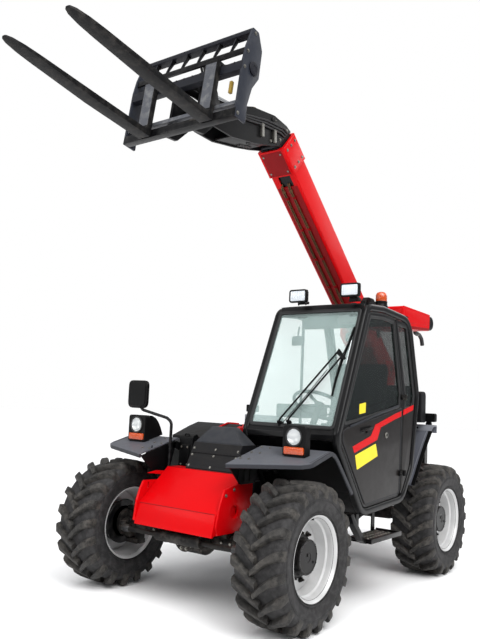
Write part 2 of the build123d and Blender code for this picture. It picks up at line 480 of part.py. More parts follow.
for nm, x in (("fork_left", FORK_X[0]), ("fork_right", FORK_X[1])):
    w = BOOM_X - x
    tine = CARR * (Pos(0, 0, w - FORK_W / 2) * extrude(Polygon((0, 0), (500, 0), (FORK_L, FORK_T - 12), (FORK_L, FORK_T), (FORK_T, FORK_T), (FORK_T, 424), (-52, 424), (-52, 404), (0, 404), align=None), amount=FORK_W, dir=(0, 0, 1)))
    save(nm, tine)

# ================================================================= cylinders
def boom3(s, n):
    y, z = boom_yz(s, n)
    return Vector(BOOM_X, y, z)

def cylinder(name, a, b, r_b, r_r, pin_r, eye_w, rod_w, l_barrel, l_rod):
    a, b = Vector(*a), Vector(*b)
    u = (b - a).normalized()
    L = (b - a).length
    barrel = rod(tuple(a + u * (pin_r + 14)), tuple(a + u * l_barrel), r_b) - rod(tuple(a + u * 90), tuple(a + u * (l_barrel + 20)), r_r + 0.05)
    barrel = barrel + cylx(a.Y, a.Z, pin_r + 22, a.X - eye_w, a.X + eye_w)
    barrel = barrel - cylx(a.Y, a.Z, pin_r + 0.06, a.X - 100, a.X + 100)
    save(name + "_barrel", barrel)
    rd = rod(tuple(b - u * l_rod), tuple(b - u * 20), r_r) + cylx(b.Y, b.Z, 42, b.X - rod_w, b.X + rod_w)
    save(name + "_rod", rd)

lift_b = boom3(*LIFT_EYE)
cylinder("lift_cylinder", (BOOM_X, LIFT_BASE[0], LIFT_BASE[1]), tuple(lift_b), 58, 32, 25, 58, 56, LIFT_BARREL, LIFT_ROD)
ta = boom3(*TILT_A)
te = Vector(BOOM_X, EY, EZ)
print("tilt length", (te - ta).length, "lift length", (lift_b - Vector(BOOM_X, *LIFT_BASE)).length, "carriage pivot f,u", PF, PU, "eye", EF, EU)
cylinder("tilt_cylinder", tuple(ta), tuple(te), 40, 24, 20, 44, 26, TILT_BARREL, TILT_ROD)
print(count, "nodes")
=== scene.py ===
from math import cos, sin, tan, radians, pi, sqrt, atan2, hypot

import bmesh
import bpy
from mathutils import Matrix, Vector


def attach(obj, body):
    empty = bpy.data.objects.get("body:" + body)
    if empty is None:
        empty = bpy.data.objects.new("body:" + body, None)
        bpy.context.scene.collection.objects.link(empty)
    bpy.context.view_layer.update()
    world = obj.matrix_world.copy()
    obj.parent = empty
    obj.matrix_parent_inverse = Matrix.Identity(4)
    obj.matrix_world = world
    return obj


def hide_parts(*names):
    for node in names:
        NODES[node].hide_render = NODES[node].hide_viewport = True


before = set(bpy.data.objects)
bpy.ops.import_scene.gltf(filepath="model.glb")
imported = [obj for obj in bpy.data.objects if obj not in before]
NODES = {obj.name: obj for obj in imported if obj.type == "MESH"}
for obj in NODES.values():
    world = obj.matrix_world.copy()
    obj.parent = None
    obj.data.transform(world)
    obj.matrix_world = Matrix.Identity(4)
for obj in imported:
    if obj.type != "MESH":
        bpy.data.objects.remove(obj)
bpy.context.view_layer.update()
SHIFT_Y = -776.5

# ------------------------------------------------------------------ frames (millimetres, front axle at y = 0)
BOOM_X, BOOM_Y, BOOM_Z, BOOM_DEG = -50.0, 2700.0, 1710.0, 40.8
HEEL = (-380.0, 3105.0)
FORK_DEG = 8.8
bc, bs = cos(radians(BOOM_DEG)), sin(radians(BOOM_DEG))
fc, fs = cos(radians(FORK_DEG)), sin(radians(FORK_DEG))


def SIDE(u, v, d):
    return (d, u, v)


def FRONT(u, v, d):
    return (u, d, v)


def TOP(u, v, d):
    return (u, v, d)


def BOOM(s, n, w):
    return (BOOM_X - w, BOOM_Y - bc * s + bs * n, BOOM_Z + bs * s + bc * n)


def CARR(f, u, w):
    return (BOOM_X - w, HEEL[0] - fc * f + fs * u, HEEL[1] + fs * f + fc * u)


# ------------------------------------------------------------------ mesh helpers
def rounded(pts, r, n=4):
    """Outline with each corner turned into a short arc. r is one radius or one per corner."""
    out = []
    m = len(pts)
    for i in range(m):
        p, a, b = Vector(pts[i]), Vector(pts[i - 1]), Vector(pts[(i + 1) % m])
        ri = r[i] if isinstance(r, (list, tuple)) else r
        u, v = (a - p), (b - p)
        lu, lv = u.length, v.length
        if ri <= 0 or lu < 1e-6 or lv < 1e-6:
            out.append(tuple(p))
            continue
        u, v = u / lu, v / lv
        ang = u.angle(v)
        if ang > radians(176):
            out.append(tuple(p))
            continue
        t = min(ri / tan(ang / 2), 0.46 * lu, 0.46 * lv)
        p0, p2 = p + u * t, p + v * t
        for k in range(n + 1):
            w = k / n
            out.append(tuple(p0 * (1 - w) ** 2 + p * 2 * w * (1 - w) + p2 * w * w))
    return out


def bevel_bm(bm, r, seg=2, angle=30):
    if r <= 0:
        return bm
    edges = [e for e in bm.edges if len(e.link_faces) == 2 and e.calc_face_angle(0) > radians(angle)]
    if edges:
        bmesh.ops.bevel(bm, geom=edges, offset=r, segments=seg, profile=0.6, affect="EDGES", clamp_overlap=True)
    return bm


def ext(pts, d0, d1, plane=SIDE, r=3, seg=2, fil=0, fn=4):
    """Outline drawn out between two depths, with its edges rounded off."""
    if fil:
        pts = rounded(pts, fil, fn)
    bm = bmesh.new()
    a = [bm.verts.new(plane(p[0], p[1], d0)) for p in pts]
    b = [bm.verts.new(plane(p[0], p[1], d1)) for p in pts]
    n = len(pts)
    bm.faces.new(a[::-1])
    bm.faces.new(b)
    for i in range(n):
        bm.faces.new((a[i], a[(i + 1) % n], b[(i + 1) % n], b[i]))
    bmesh.ops.recalc_face_normals(bm, faces=bm.faces)
    return bevel_bm(bm, r, seg)


def fbox(x0, x1, y0, y1, z0, z1, r=4, seg=2):
    return ext([(x0, y0), (x1, y0), (x1, y1), (x0, y1)], z0, z1, TOP, r, seg)


def frame_of(axis, up=None):
    z = Vector(axis).normalized()
    up = Vector(up) if up is not None else (Vector((0, 0, 1)) if abs(z.z) < 0.9 else Vector((0, 1, 0)))
    x = up.cross(z).normalized()
    y = z.cross(x)
    return x, y, z


def lathe(prof, at, axis, n=48, closed=True, up=None):
    """Profile of (distance along the axis, radius) turned about the axis."""
    x, y, z = frame_of(axis, up)
    o = Vector(at)
    bm = bmesh.new()
    rings = []
    for a, r in prof:
        if r < 1e-6:
            rings.append([bm.verts.new(o + z * a)])
        else:
            rings.append([bm.verts.new(o + z * a + x * (r * cos(2 * pi * k / n)) + y * (r * sin(2 * pi * k / n))) for k in range(n)])
    m = len(prof)
    last = m if closed else m - 1
    for i in range(last):
        p, q = rings[i], rings[(i + 1) % m]
        if len(p) == 1 and len(q) == 1:
            continue
        for k in range(n):
            k2 = (k + 1) % n
            if len(p) == 1:
                bm.faces.new((p[0], q[k2], q[k]))
            elif len(q) == 1:
                bm.faces.new((p[k], p[k2], q[0]))
            else:
                bm.faces.new((p[k], p[k2], q[k2], q[k]))
    bmesh.ops.recalc_face_normals(bm, faces=bm.faces)
    return bm


def cyl(p, q, r, c=2, n=32):
    p, q = Vector(p), Vector(q)
    L = (q - p).length
    return lathe([(0, 0), (0, r - c), (c, r), (L - c, r), (L, r - c), (L, 0)], p, q - p, n, closed=False)


def path_round(pts, r, n=6):
    """Open 3-D path with its inner corners rounded."""
    out = [Vector(pts[0])]
    for i in range(1, len(pts) - 1):
        p, a, b = Vector(pts[i]), Vector(pts[i - 1]), Vector(pts[i + 1])
        u, v = (a - p), (b - p)
        lu, lv = u.length, v.length
        u, v = u / lu, v / lv
        ang = max(u.angle(v), 0.05)
        if ang > radians(177):
            out.append(p)
            continue
        t = min(r / tan(ang / 2), 0.47 * lu, 0.47 * lv)
        p0, p2 = p + u * t, p + v * t
        for k in range(n + 1):
            w = k / n
            out.append(p0 * (1 - w) ** 2 + p * 2 * w * (1 - w) + p2 * w * w)
    out.append(Vector(pts[-1]))
    return out


def sweep(path, sec, up, closed=False, caps=True):
    """Section (a, b) carried along a path: a goes across (up x direction), b along up."""
    P = [Vector(p) for p in path]
    n = len(P)
    U = Vector(up).normalized()
    bm = bmesh.new()
    rings = []
    for i, p in enumerate(P):
        if closed:
            d0, d1 = (p - P[i - 1]), (P[(i + 1) % n] - p)
        else:
            d0 = (p - P[i - 1]) if i else (P[1] - p)
            d1 = (P[i + 1] - p) if i < n - 1 else (p - P[i - 1])
        d0, d1 = d0.normalized(), d1.normalized()
        d = (d0 + d1).normalized()
        a = U.cross(d).normalized()
        k = 1 / max(0.35, sqrt(max(0.0, (1 + d0.dot(d1)) / 2)))
        b = d.cross(a)
        rings.append([bm.verts.new(p + a * (s[0] * k) + b * s[1]) for s in sec])
    m = len(sec)
    for i in range(n if closed else n - 1):
        p, q = rings[i], rings[(i + 1) % n]
        for k in range(m):
            bm.faces.new((p[k], p[(k + 1) % m], q[(k + 1) % m], q[k]))
    if not closed and caps:
        bm.faces.new(rings[0])
        bm.faces.new(rings[-1][::-1])
    bmesh.ops.recalc_face_normals(bm, faces=bm.faces)
    return bm


def tube(pts, r, fil=40, n=10, closed=False):
    """Round tube along a path, with a frame that doesn't twist."""
    P = path_round(pts, fil) if fil else [Vector(p) for p in pts]
    Q = [P[0]]
    for p in P[1:]:
        if (p - Q[-1]).length > 1e-3:
            Q.append(p)
    P = Q
    m = len(P)
    T = []
    for i in range(m):
        a = P[i] - P[i - 1] if i else P[1] - P[0]
        b = P[i + 1] - P[i] if i < m - 1 else P[i] - P[i - 1]
        T.append((a.normalized() + b.normalized()).normalized())
    x, y, _ = frame_of(T[0])
    bm = bmesh.new()
    rings = []
    for i in range(m):
        if i:
            ax = T[i - 1].cross(T[i])
            if ax.length > 1e-9:
                rot = Matrix.Rotation(T[i - 1].angle(T[i]), 3, ax.normalized())
                x = rot @ x
        y = T[i].cross(x).normalized()
        x = y.cross(T[i]).normalized()
        rings.append([bm.verts.new(P[i] + x * (r * cos(2 * pi * k / n)) + y * (r * sin(2 * pi * k / n))) for k in range(n)])
    for i in range(m - 1):
        for k in range(n):
            bm.faces.new((rings[i][k], rings[i][(k + 1) % n], rings[i + 1][(k + 1) % n], rings[i + 1][k]))
    bm.faces.new(rings[0][::-1])
    bm.faces.new(rings[-1])
    bmesh.ops.recalc_face_normals(bm, faces=bm.faces)
    return bm


def bolt(p, nrm, af=18, h=11, washer=True):
    """Hexagon head on a washer; p is on the surface."""
    r = af / sqrt(3)
    x, y, z = frame_of(nrm)
    p = Vector(p)
    bm = bmesh.new()
    prof = []
    if washer:
        w = lathe([(0, 0), (0, r * 1.35), (h * 0.18, r * 1.35), (h * 0.18, 0)], p, nrm, 20, closed=False)
        merge(bm, w)
    base = h * 0.18 if washer else 0
    levels = [(base, r), (h * 0.86, r), (h, r * 0.86)]
    rings = [[bm.verts.new(p + z * a + x * (q * cos(pi * k / 3)) + y * (q * sin(pi * k / 3))) for k in range(6)] for a, q in levels]
    for i in range(2):
        for k in range(6):
            bm.faces.new((rings[i][k], rings[i][(k + 1) % 6], rings[i + 1][(k + 1) % 6], rings[i + 1][k]))
    bm.faces.new(rings[-1])
    return bm


def merge(dst, src):
    """Adds one bmesh to another."""
    vm = {}
    for v in src.verts:
        vm[v] = dst.verts.new(v.co)
    for f in src.faces:
        try:
            nf = dst.faces.new([vm[v] for v in f.verts])
            nf.material_index = f.material_index
            nf.smooth = f.smooth
        except ValueError:
            pass
    src.free()
    return dst


def moved(bm, m):
    bm.transform(m)
    if m.determinant() < 0:
        bmesh.ops.reverse_faces(bm, faces=bm.faces)
    return bm


def mir(bm):
    """Mirror copy across the machine's middle plane."""
    c = bm.copy()
    return moved(c, Matrix.Scale(-1, 4, (1, 0, 0)))


def to_object(name, bm):
    me = bpy.data.meshes.new(name)
    bm.to_mesh(me)
    bm.free()
    ob = bpy.data.objects.new(name, me)
    bpy.context.scene.collection.objects.link(ob)
    return ob


def cut(bm, *tools):
    """Takes the tools' volumes out of bm."""
    a = to_object("tmp_a", bm)
    for t in tools:
        b = to_object("tmp_b", t)
        md = a.modifiers.new("cut", "BOOLEAN")
        md.operation, md.solver, md.object = "DIFFERENCE", "EXACT", b
        dg = bpy.context.evaluated_depsgraph_get()
        me = bpy.data.meshes.new_from_object(a.evaluated_get(dg))
        a.modifiers.remove(md)
        old = a.data
        a.data = me
        bpy.data.meshes.remove(old)
        bpy.data.objects.remove(b)
    out = bmesh.new()
    out.from_mesh(a.data)
    bpy.data.objects.remove(a)
    bmesh.ops.remove_doubles(out, verts=out.verts, dist=0.01)
    bmesh.ops.dissolve_limit(out, angle_limit=radians(0.5), verts=out.verts, edges=out.edges)
    return out


SCALE = Matrix.Translation((0, SHIFT_Y / 1000, 0)) @ Matrix.Scale(0.001, 4)


def piece(name, parts, body, stands_for=(), sharp=32, flat=False):
    """parts is a list of (bmesh or list of bmeshes, material). One object rides on a body."""
    bm = bmesh.new()
    mats = []
    for geo, mat in parts:
        if mat not in mats:
            mats.append(mat)
        idx = mats.index(mat)
        for g in (geo if isinstance(geo, (list, tuple)) else [geo]):
            for f in g.faces:
                f.material_index = idx
            merge(bm, g)
    bm.transform(SCALE)
    bad = [f for f in bm.faces if f.calc_area() < 1e-12]
    if bad:
        bmesh.ops.delete(bm, geom=bad, context="FACES_ONLY")
    ob = to_object(name, bm)
    for m in mats:
        ob.data.materials.append(m)
    if not flat:
        ob.data.shade_smooth()
        ob.data.set_sharp_from_angle(angle=radians(sharp))
    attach(ob, body)
    if stands_for:
        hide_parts(*([stands_for] if isinstance(stands_for, str) else stands_for))
    return ob


def islands(bm):
    """Each connected shell as its own bmesh."""
    bm.verts.ensure_lookup_table()
    seen, out = set(), []
    for v0 in bm.verts:
        if v0 in seen:
            continue
        grp, todo = [], [v0]
        seen.add(v0)
        while todo:
            v = todo.pop()
            grp.append(v)
            for e in v.link_edges:
                o = e.other_vert(v)
                if o not in seen:
                    seen.add(o)
                    todo.append(o)
        n = bmesh.new()
        vm = {v: n.verts.new(v.co) for v in grp}
        for f in {f for v in grp for f in v.link_faces}:
            n.faces.new([vm[v] for v in f.verts])
        bmesh.ops.recalc_face_normals(n, faces=n.faces)
        out.append(n)
    return out


def hull(pts, r=4, seg=2, angle=12):
    """Convex solid through the points, edges rounded off."""
    bm = bmesh.new()
    for p in pts:
        bm.verts.new(p)
    res = bmesh.ops.convex_hull(bm, input=bm.verts)
    bmesh.ops.dissolve_limit(bm, angle_limit=radians(1), verts=bm.verts, edges=bm.edges)
    bmesh.ops.recalc_face_normals(bm, faces=bm.faces)
    return bevel_bm(bm, r, seg, angle)


def refine(node, body, mat, r=2.5, seg=2, angle=25, name=None, extra=(), cuts=()):
    """A CAD node's own shape with its edges rounded off, standing for the node."""
    bm = bmesh.new()
    bm.from_mesh(NODES[node].data)
    bm.transform(SCALE.inverted())
    bmesh.ops.remove_doubles(bm, verts=bm.verts, dist=0.02)
    bmesh.ops.dissolve_limit(bm, angle_limit=radians(0.6), verts=bm.verts, edges=bm.edges)
    if cuts:
        bm = cut(bm, *cuts)
    shapes = []
    for isl in islands(bm):
        shapes.append(bevel_bm(isl, r, seg, angle))
    bm.free()
    return piece(name or node + "_body", [(shapes, mat)] + list(extra), body, node)


# ------------------------------------------------------------------ materials
def srgb(r, g, b):
    def f(c):
        c /= 255.0
        return c / 12.92 if c <= 0.04045 else ((c + 0.055) / 1.055) ** 2.4
    return (f(r), f(g), f(b), 1.0)


class Mat:
    """Small helper to write node trees."""

    def __init__(s, name):
        s.m = bpy.data.materials.new(name)
        s.m.use_nodes = True
        s.t = s.m.node_tree
        s.t.nodes.clear()
        s.out = s.t.nodes.new("ShaderNodeOutputMaterial")
        s.b = s.t.nodes.new("ShaderNodeBsdfPrincipled")
        s.t.links.new(s.b.outputs[0], s.out.inputs[0])
        s.co = s.t.nodes.new("ShaderNodeTexCoord")
        s.geo = s.t.nodes.new("ShaderNodeNewGeometry")

    def node(s, kind, **kw):
        n = s.t.nodes.new(kind)
        for k, v in kw.items():
            if k.startswith("_"):
                n.inputs[k[1:]].default_value = v
            else:
                setattr(n, k, v)
        return n

    def link(s, a, b):
        s.t.links.new(a, b)

    def noise(s, scale, detail=4, rough=0.55, dist=0.0, stretch=None):
        n = s.node("ShaderNodeTexNoise", _Scale=scale, _Detail=detail, _Roughness=rough, _Distortion=dist)
        if stretch:
            mp = s.node("ShaderNodeMapping")
            mp.inputs["Scale"].default_value = stretch
            s.link(s.co.outputs["Object"], mp.inputs["Vector"])
            s.link(mp.outputs["Vector"], n.inputs["Vector"])
        else:
            s.link(s.co.outputs["Object"], n.inputs["Vector"])
        return n.outputs["Fac"]

    def ramp(s, fac, stops):
        n = s.node("ShaderNodeValToRGB")
        cr = n.color_ramp
        while len(cr.elements) < len(stops):
            cr.elements.new(0.5)
        for e, (p, c) in zip(cr.elements, stops):
            e.position = p
            e.color = c if isinstance(c, tuple) else (c, c, c, 1)
        s.link(fac, n.inputs["Fac"])
        return n.outputs["Color"]

    def mix(s, fac, a, b, mode="MIX"):
        n = s.node("ShaderNodeMix", data_type="RGBA", blend_type=mode)
        for i, v in ((0, fac), (6, a), (7, b)):
            if isinstance(v, (int, float)):
                n.inputs[i].default_value = v if i == 0 else (v, v, v, 1)
            elif isinstance(v, tuple):
                n.inputs[i].default_value = v
            else:
                s.link(v, n.inputs[i])
        return n.outputs[2]

    def math(s, op, a, b=0.0, clamp=False):
        n = s.node("ShaderNodeMath", operation=op, use_clamp=clamp)
        for i, v in ((0, a), (1, b)):
            if isinstance(v, (int, float)):
                n.inputs[i].default_value = v
            else:
                s.link(v, n.inputs[i])
        return n.outputs[0]

    def up(s):
        """How far the surface faces up, 0 to 1."""
        sep = s.node("ShaderNodeSeparateXYZ")
        s.link(s.geo.outputs["Normal"], sep.inputs[0])
        return s.math("MAXIMUM", sep.outputs["Z"], 0.0)

    def height(s):
        sep = s.node("ShaderNodeSeparateXYZ")
        s.link(s.co.outputs["Object"], sep.inputs[0])
        return sep.outputs["Z"]

    def bump(s, h, strength=0.2, dist=0.001, base=None):
        n = s.node("ShaderNodeBump", _Strength=strength, _Distance=dist)
        s.link(h, n.inputs["Height"])
        if base is not None:
            s.link(base, n.inputs["Normal"])
        return n.outputs["Normal"]

    def set(s, **kw):
        for k, v in kw.items():
            k = k.replace("_", " ")
            if hasattr(v, "is_output"):
                s.link(v, s.b.inputs[k])
            else:
                s.b.inputs[k].default_value = v
        return s


def finish(name, col, rough=0.4, metallic=0.0, coat=0.0, spec=0.5, vary=0.08, grain=0.0, grain_scale=900, top_dust_and_sheen=0.0, dust_and_sheen_col=srgb(128, 118, 104),
           wear=0.0, wear_col=srgb(150, 150, 148), peel=0.0, low_dirt=0.0, scratch=0.0):
    """Painted or moulded surface: drifting tone, fine grain, dust on top faces (with the red paint's pale red a painted
    highlight on the tops), dirt low down, bright worn edges.
    """
    m = Mat(name)
    big = m.noise(2.3, 5, 0.6)
    mid = m.noise(17.0, 5, 0.62)
    fine = m.noise(160.0, 3, 0.5)
    dark = tuple(c * (1 - vary) for c in col[:3]) + (1,)
    light = tuple(min(1, c * (1 + vary)) for c in col[:3]) + (1,)
    base = m.mix(m.ramp(big, [(0.36, 0.0), (0.64, 1.0)]), dark, light)
    base = m.mix(m.ramp(mid, [(0.42, 0.0), (0.75, 0.55)]), base, dark)
    r = m.math("ADD", m.math("MULTIPLY", m.ramp(mid, [(0.3, 0.0), (0.7, 1.0)]), rough * 0.22), rough * 0.9)
    if scratch:
        sc = m.noise(30.0, 2, 0.5, 0.4, stretch=(1.0, 9.0, 22.0))
        k = m.ramp(sc, [(0.60, 0.0), (0.66, scratch)])
        base = m.mix(k, base, wear_col)
    # colour laid on upward faces: real dust, and with the red paint's pale red a painted highlight on the tops
    if top_dust_and_sheen:
        k = m.math("MULTIPLY", m.math("POWER", m.up(), 1.6), m.ramp(mid, [(0.32, 0.15), (0.62, 1.0)]))
        k = m.math("MULTIPLY", k, top_dust_and_sheen, True)
        base = m.mix(k, base, dust_and_sheen_col)
        r = m.math("ADD", r, m.math("MULTIPLY", k, 0.35), True)
    if low_dirt:
        k = m.ramp(m.height(), [(0.0, 1.0), (0.75, 0.0)])
        k = m.math("MULTIPLY", k, m.ramp(mid, [(0.35, 0.0), (0.62, low_dirt)]))
        base = m.mix(k, base, dust_and_sheen_col)
    if wear:
        p = m.ramp(m.geo.outputs["Pointiness"], [(0.515, 0.0), (0.56, 1.0)])
        k = m.math("MULTIPLY", p, m.ramp(mid, [(0.48, 0.0), (0.66, wear)]))
        base = m.mix(k, base, wear_col)
    m.set(Base_Color=base, Roughness=r, Metallic=metallic, Coat_Weight=coat, Coat_Roughness=0.08, Specular_IOR_Level=spec)
    nrm = None
    if peel:
        nrm = m.bump(m.noise(220.0, 2, 0.5), peel, 0.0006)
    if grain:
        nrm = m.bump(m.noise(grain_scale, 3, 0.7), grain, 0.0006, nrm)
    if nrm is not None:
        m.set(Normal=nrm)
    return m.m


DUST = srgb(104, 96, 86)
# the pale red given for its upward faces is a painted highlight on the tops of red parts, not dust
RED = finish("red_gloss", srgb(194, 2, 8), 0.34, coat=0.06, spec=0.09, vary=0.03, peel=0.04, top_dust_and_sheen=0.02, dust_and_sheen_col=srgb(196, 60, 56), low_dirt=0.02)
# darker copy of the red paint: painted shade for undersides, folds and lower edges
RED_PAINTED_SHADE = finish("red_shaded", srgb(128, 3, 9), 0.44, coat=0.04, spec=0.12, vary=0.10, peel=0.08, top_dust_and_sheen=0.08, low_dirt=0.20, dust_and_sheen_col=DUST)
BLACK = finish("black_gloss", srgb(10, 10, 12), 0.30, coat=0.12, spec=0.13, vary=0.10, peel=0.10, top_dust_and_sheen=0.04, dust_and_sheen_col=DUST, wear=0.25, wear_col=srgb(66, 64, 62), low_dirt=0.08)
BLACK_OLD = finish("black_worn", srgb(12, 12, 13), 0.48, spec=0.14, vary=0.18, grain=0.12, grain_scale=260, top_dust_and_sheen=0.12, dust_and_sheen_col=DUST, wear=0.45, wear_col=srgb(84, 80, 76), low_dirt=0.22, scratch=0.05)
PANEL = finish("grey_satin", srgb(17, 17, 18), 0.34, coat=0.14, spec=0.13, vary=0.05, grain=0.05, grain_scale=700, top_dust_and_sheen=0.04, dust_and_sheen_col=DUST, low_dirt=0.05)
PANEL_WARM = finish("brown_grey_satin", srgb(27, 24, 23), 0.38, coat=0.12, spec=0.12, vary=0.05, grain=0.05, grain_scale=700, top_dust_and_sheen=0.05, dust_and_sheen_col=DUST, low_dirt=0.08)
PLASTIC = finish("grained_plastic", srgb(20, 20, 22), 0.50, spec=0.15, vary=0.08, grain=0.30, grain_scale=1300, top_dust_and_sheen=0.14, dust_and_sheen_col=DUST, low_dirt=0.10)
PLASTIC_BLACK = finish("black_plastic", srgb(9, 9, 10), 0.42, spec=0.14, vary=0.10, grain=0.22, grain_scale=1500, top_dust_and_sheen=0.05, dust_and_sheen_col=DUST)
COVER_GREY = finish("cover_grey", srgb(40, 42, 47), 0.48, spec=0.18, vary=0.06, grain=0.25, grain_scale=1200, top_dust_and_sheen=0.12, dust_and_sheen_col=srgb(130, 128, 124))
WING_GREY = finish("wing_grey", srgb(80, 82, 89), 0.50, spec=0.26, vary=0.05, grain=0.28, grain_scale=1100, top_dust_and_sheen=0.12, dust_and_sheen_col=srgb(132, 130, 126), low_dirt=0.12)
WING_LIP = finish("wing_lip", srgb(44, 45, 50), 0.46, spec=0.28, vary=0.06, grain=0.2, grain_scale=900, top_dust_and_sheen=0.06, dust_and_sheen_col=DUST)
BLUE_GREY = finish("blue_grey_paint", srgb(92, 98, 112), 0.44, spec=0.3, vary=0.07, peel=0.08, top_dust_and_sheen=0.15, dust_and_sheen_col=srgb(130, 128, 124), wear=0.3, wear_col=srgb(50, 50, 52))
BLUE_DARK = finish("dark_blue_grey", srgb(28, 29, 35), 0.46, spec=0.18, vary=0.09, peel=0.08, top_dust_and_sheen=0.10, dust_and_sheen_col=DUST, low_dirt=0.15)
STEEL = finish("zinc_steel", srgb(130, 128, 122), 0.38, metallic=0.9, vary=0.20, low_dirt=0.3)
CHROME = finish("bright_rod", srgb(205, 206, 208), 0.14, metallic=1.0, vary=0.03)
RIM = finish("rim_silver", srgb(196, 196, 196), 0.36, metallic=0.2, coat=0.15, spec=0.36, vary=0.05, peel=0.05, top_dust_and_sheen=0.07, dust_and_sheen_col=srgb(150, 146, 138), low_dirt=0.12)
BRASS = finish("yellow_zinc", srgb(150, 128, 70), 0.42, metallic=0.8, vary=0.2)
SHANK = finish("fork_steel", srgb(84, 86, 92), 0.46, metallic=0.35, spec=0.35, vary=0.12, grain=0.1, grain_scale=300, scratch=0.25, wear=0.4)
WHITE = finish("plain_white", srgb(226, 226, 222), 0.4, vary=0.03)
YELLOW = finish("plain_yellow", srgb(228, 208, 24), 0.42, vary=0.04)


def rubber(name, col, tread):
    m = Mat(name)
    big = m.noise(4.0, 5, 0.6)
    mid = m.noise(26.0, 6, 0.65)
    fine = m.noise(240.0, 4, 0.6)
    base = m.mix(m.ramp(mid, [(0.42, 0.0), (0.62, 1.0)]), tuple(c * 0.42 for c in col[:3]) + (1,), col)
    dusty = srgb(92, 87, 81) if tread else srgb(68, 66, 64)
    k = m.math("MULTIPLY", m.ramp(big, [(0.40, 0.15), (0.68, 1.0)]), m.ramp(mid, [(0.40, 0.05), (0.72, 1.0)]))
    base = m.mix(m.math("MULTIPLY", k, 0.75 if tread else 0.30), base, dusty)
    speck = m.ramp(m.noise(420.0, 2, 0.6), [(0.60, 0.0), (0.72, 0.5 if tread else 0.15)])
    base = m.mix(speck, base, srgb(112, 106, 98))
    m.set(Base_Color=base, Roughness=m.math("ADD", m.math("MULTIPLY", mid, 0.16), 0.56), Specular_IOR_Level=0.28)
    n = m.bump(fine, 0.30 if tread else 0.10, 0.0012)
    n = m.bump(m.noise(60.0, 4, 0.6), 0.25 if tread else 0.06, 0.003, n)
    m.set(Normal=n)
    return m.m


RUBBER = rubber("tyre_side", srgb(50, 49, 50), False)
TREAD = rubber("tyre_tread", srgb(46, 45, 44), True)
GASKET = finish("window_rubber", srgb(17, 17, 18), 0.55, vary=0.1)
HOSE = finish("hose_rubber", srgb(24, 24, 26), 0.42, vary=0.12, grain=0.12, grain_scale=500, top_dust_and_sheen=0.15)


def glass(name, col, alpha, rough=0.02):
    m = Mat(name)
    streak = m.noise(5.0, 4, 0.6, 0.5)
    base = m.mix(m.ramp(streak, [(0.4, 0.0), (0.7, 1.0)]), col, tuple(min(1, c * 1.12) for c in col[:3]) + (1,))
    m.set(Base_Color=base, Roughness=rough, Alpha=alpha, Specular_IOR_Level=0.9)
    m.m.blend_method = "BLEND" if hasattr(m.m, "blend_method") else None
    return m.m


# pale colour laid over the windscreen: a painted whitish reflection veil, not a tint of the glass
GLASS = glass("glass_painted_veil", srgb(214, 238, 234), 0.20)
# dark colour laid over the door and quarter panes: painted shade of the cab inside
GLASS_PAINTED_SHADE = glass("side_glass_painted_shade", srgb(14, 22, 20), 0.66)
MIRROR = finish("mirror_face", srgb(190, 198, 204), 0.04, metallic=1.0, vary=0.02)


def lens(name, col, emit=0.0, clear=0.0):
    m = Mat(name)
    w = m.node("ShaderNodeTexWave", _Scale=60.0, _Distortion=0.0)
    w.bands_direction = "X"
    m.link(m.co.outputs["Object"], w.inputs["Vector"])
    v = m.node("ShaderNodeTexVoronoi", _Scale=140.0)
    m.link(m.co.outputs["Object"], v.inputs["Vector"])
    k = m.ramp(v.outputs["Distance"], [(0.0, 0.0), (0.6, 1.0)])
    base = m.mix(k, tuple(c * 0.75 for c in col[:3]) + (1,), col)
    m.set(Base_Color=base, Roughness=0.08, Transmission_Weight=clear, Coat_Weight=0.6, Coat_Roughness=0.03, Specular_IOR_Level=0.7)
    if emit:
        m.set(Emission_Color=col, Emission_Strength=emit)
    m.set(Normal=m.bump(w.outputs["Fac"], 0.35, 0.0015, m.bump(v.outputs["Distance"], 0.4, 0.001)))
    return m.m


AMBER = lens("amber_lens", srgb(196, 72, 4), 0.05)
RED_LENS = lens("red_lens", srgb(120, 14, 26), 0.03)
CLEAR = glass("clear_lens", srgb(236, 240, 244), 0.30)
WHITE_LENS = lens("white_lens", srgb(214, 220, 226))
REFLECTOR = finish("reflector", srgb(205, 206, 200), 0.16, metallic=1.0, vary=0.03)


def cloth(name, col):
    m = Mat(name)
    a = m.node("ShaderNodeTexWave", _Scale=190.0, _Distortion=0.4, bands_direction="DIAGONAL")
    b = m.node("ShaderNodeTexWave", _Scale=190.0, _Distortion=0.4, bands_direction="X")
    for w in (a, b):
        m.link(m.co.outputs["Object"], w.inputs["Vector"])
    weave = m.math("MULTIPLY", a.outputs["Fac"], b.outputs["Fac"])
    mid = m.noise(22.0, 5)
    base = m.mix(weave, tuple(c * 0.55 for c in col[:3]) + (1,), col)
    base = m.mix(m.ramp(mid, [(0.4, 0.0), (0.7, 0.4)]), base, tuple(c * 0.7 for c in col[:3]) + (1,))
    m.set(Base_Color=base, Roughness=0.86, Sheen_Weight=0.35, Sheen_Roughness=0.5, Specular_IOR_Level=0.25)
    m.set(Normal=m.bump(weave, 0.5, 0.0012))
    return m.m


SEAT = cloth("seat_cloth", srgb(58, 58, 62))

PI2 = 2 * pi
# ------------------------------------------------------------------ wheels
TR = 440.0


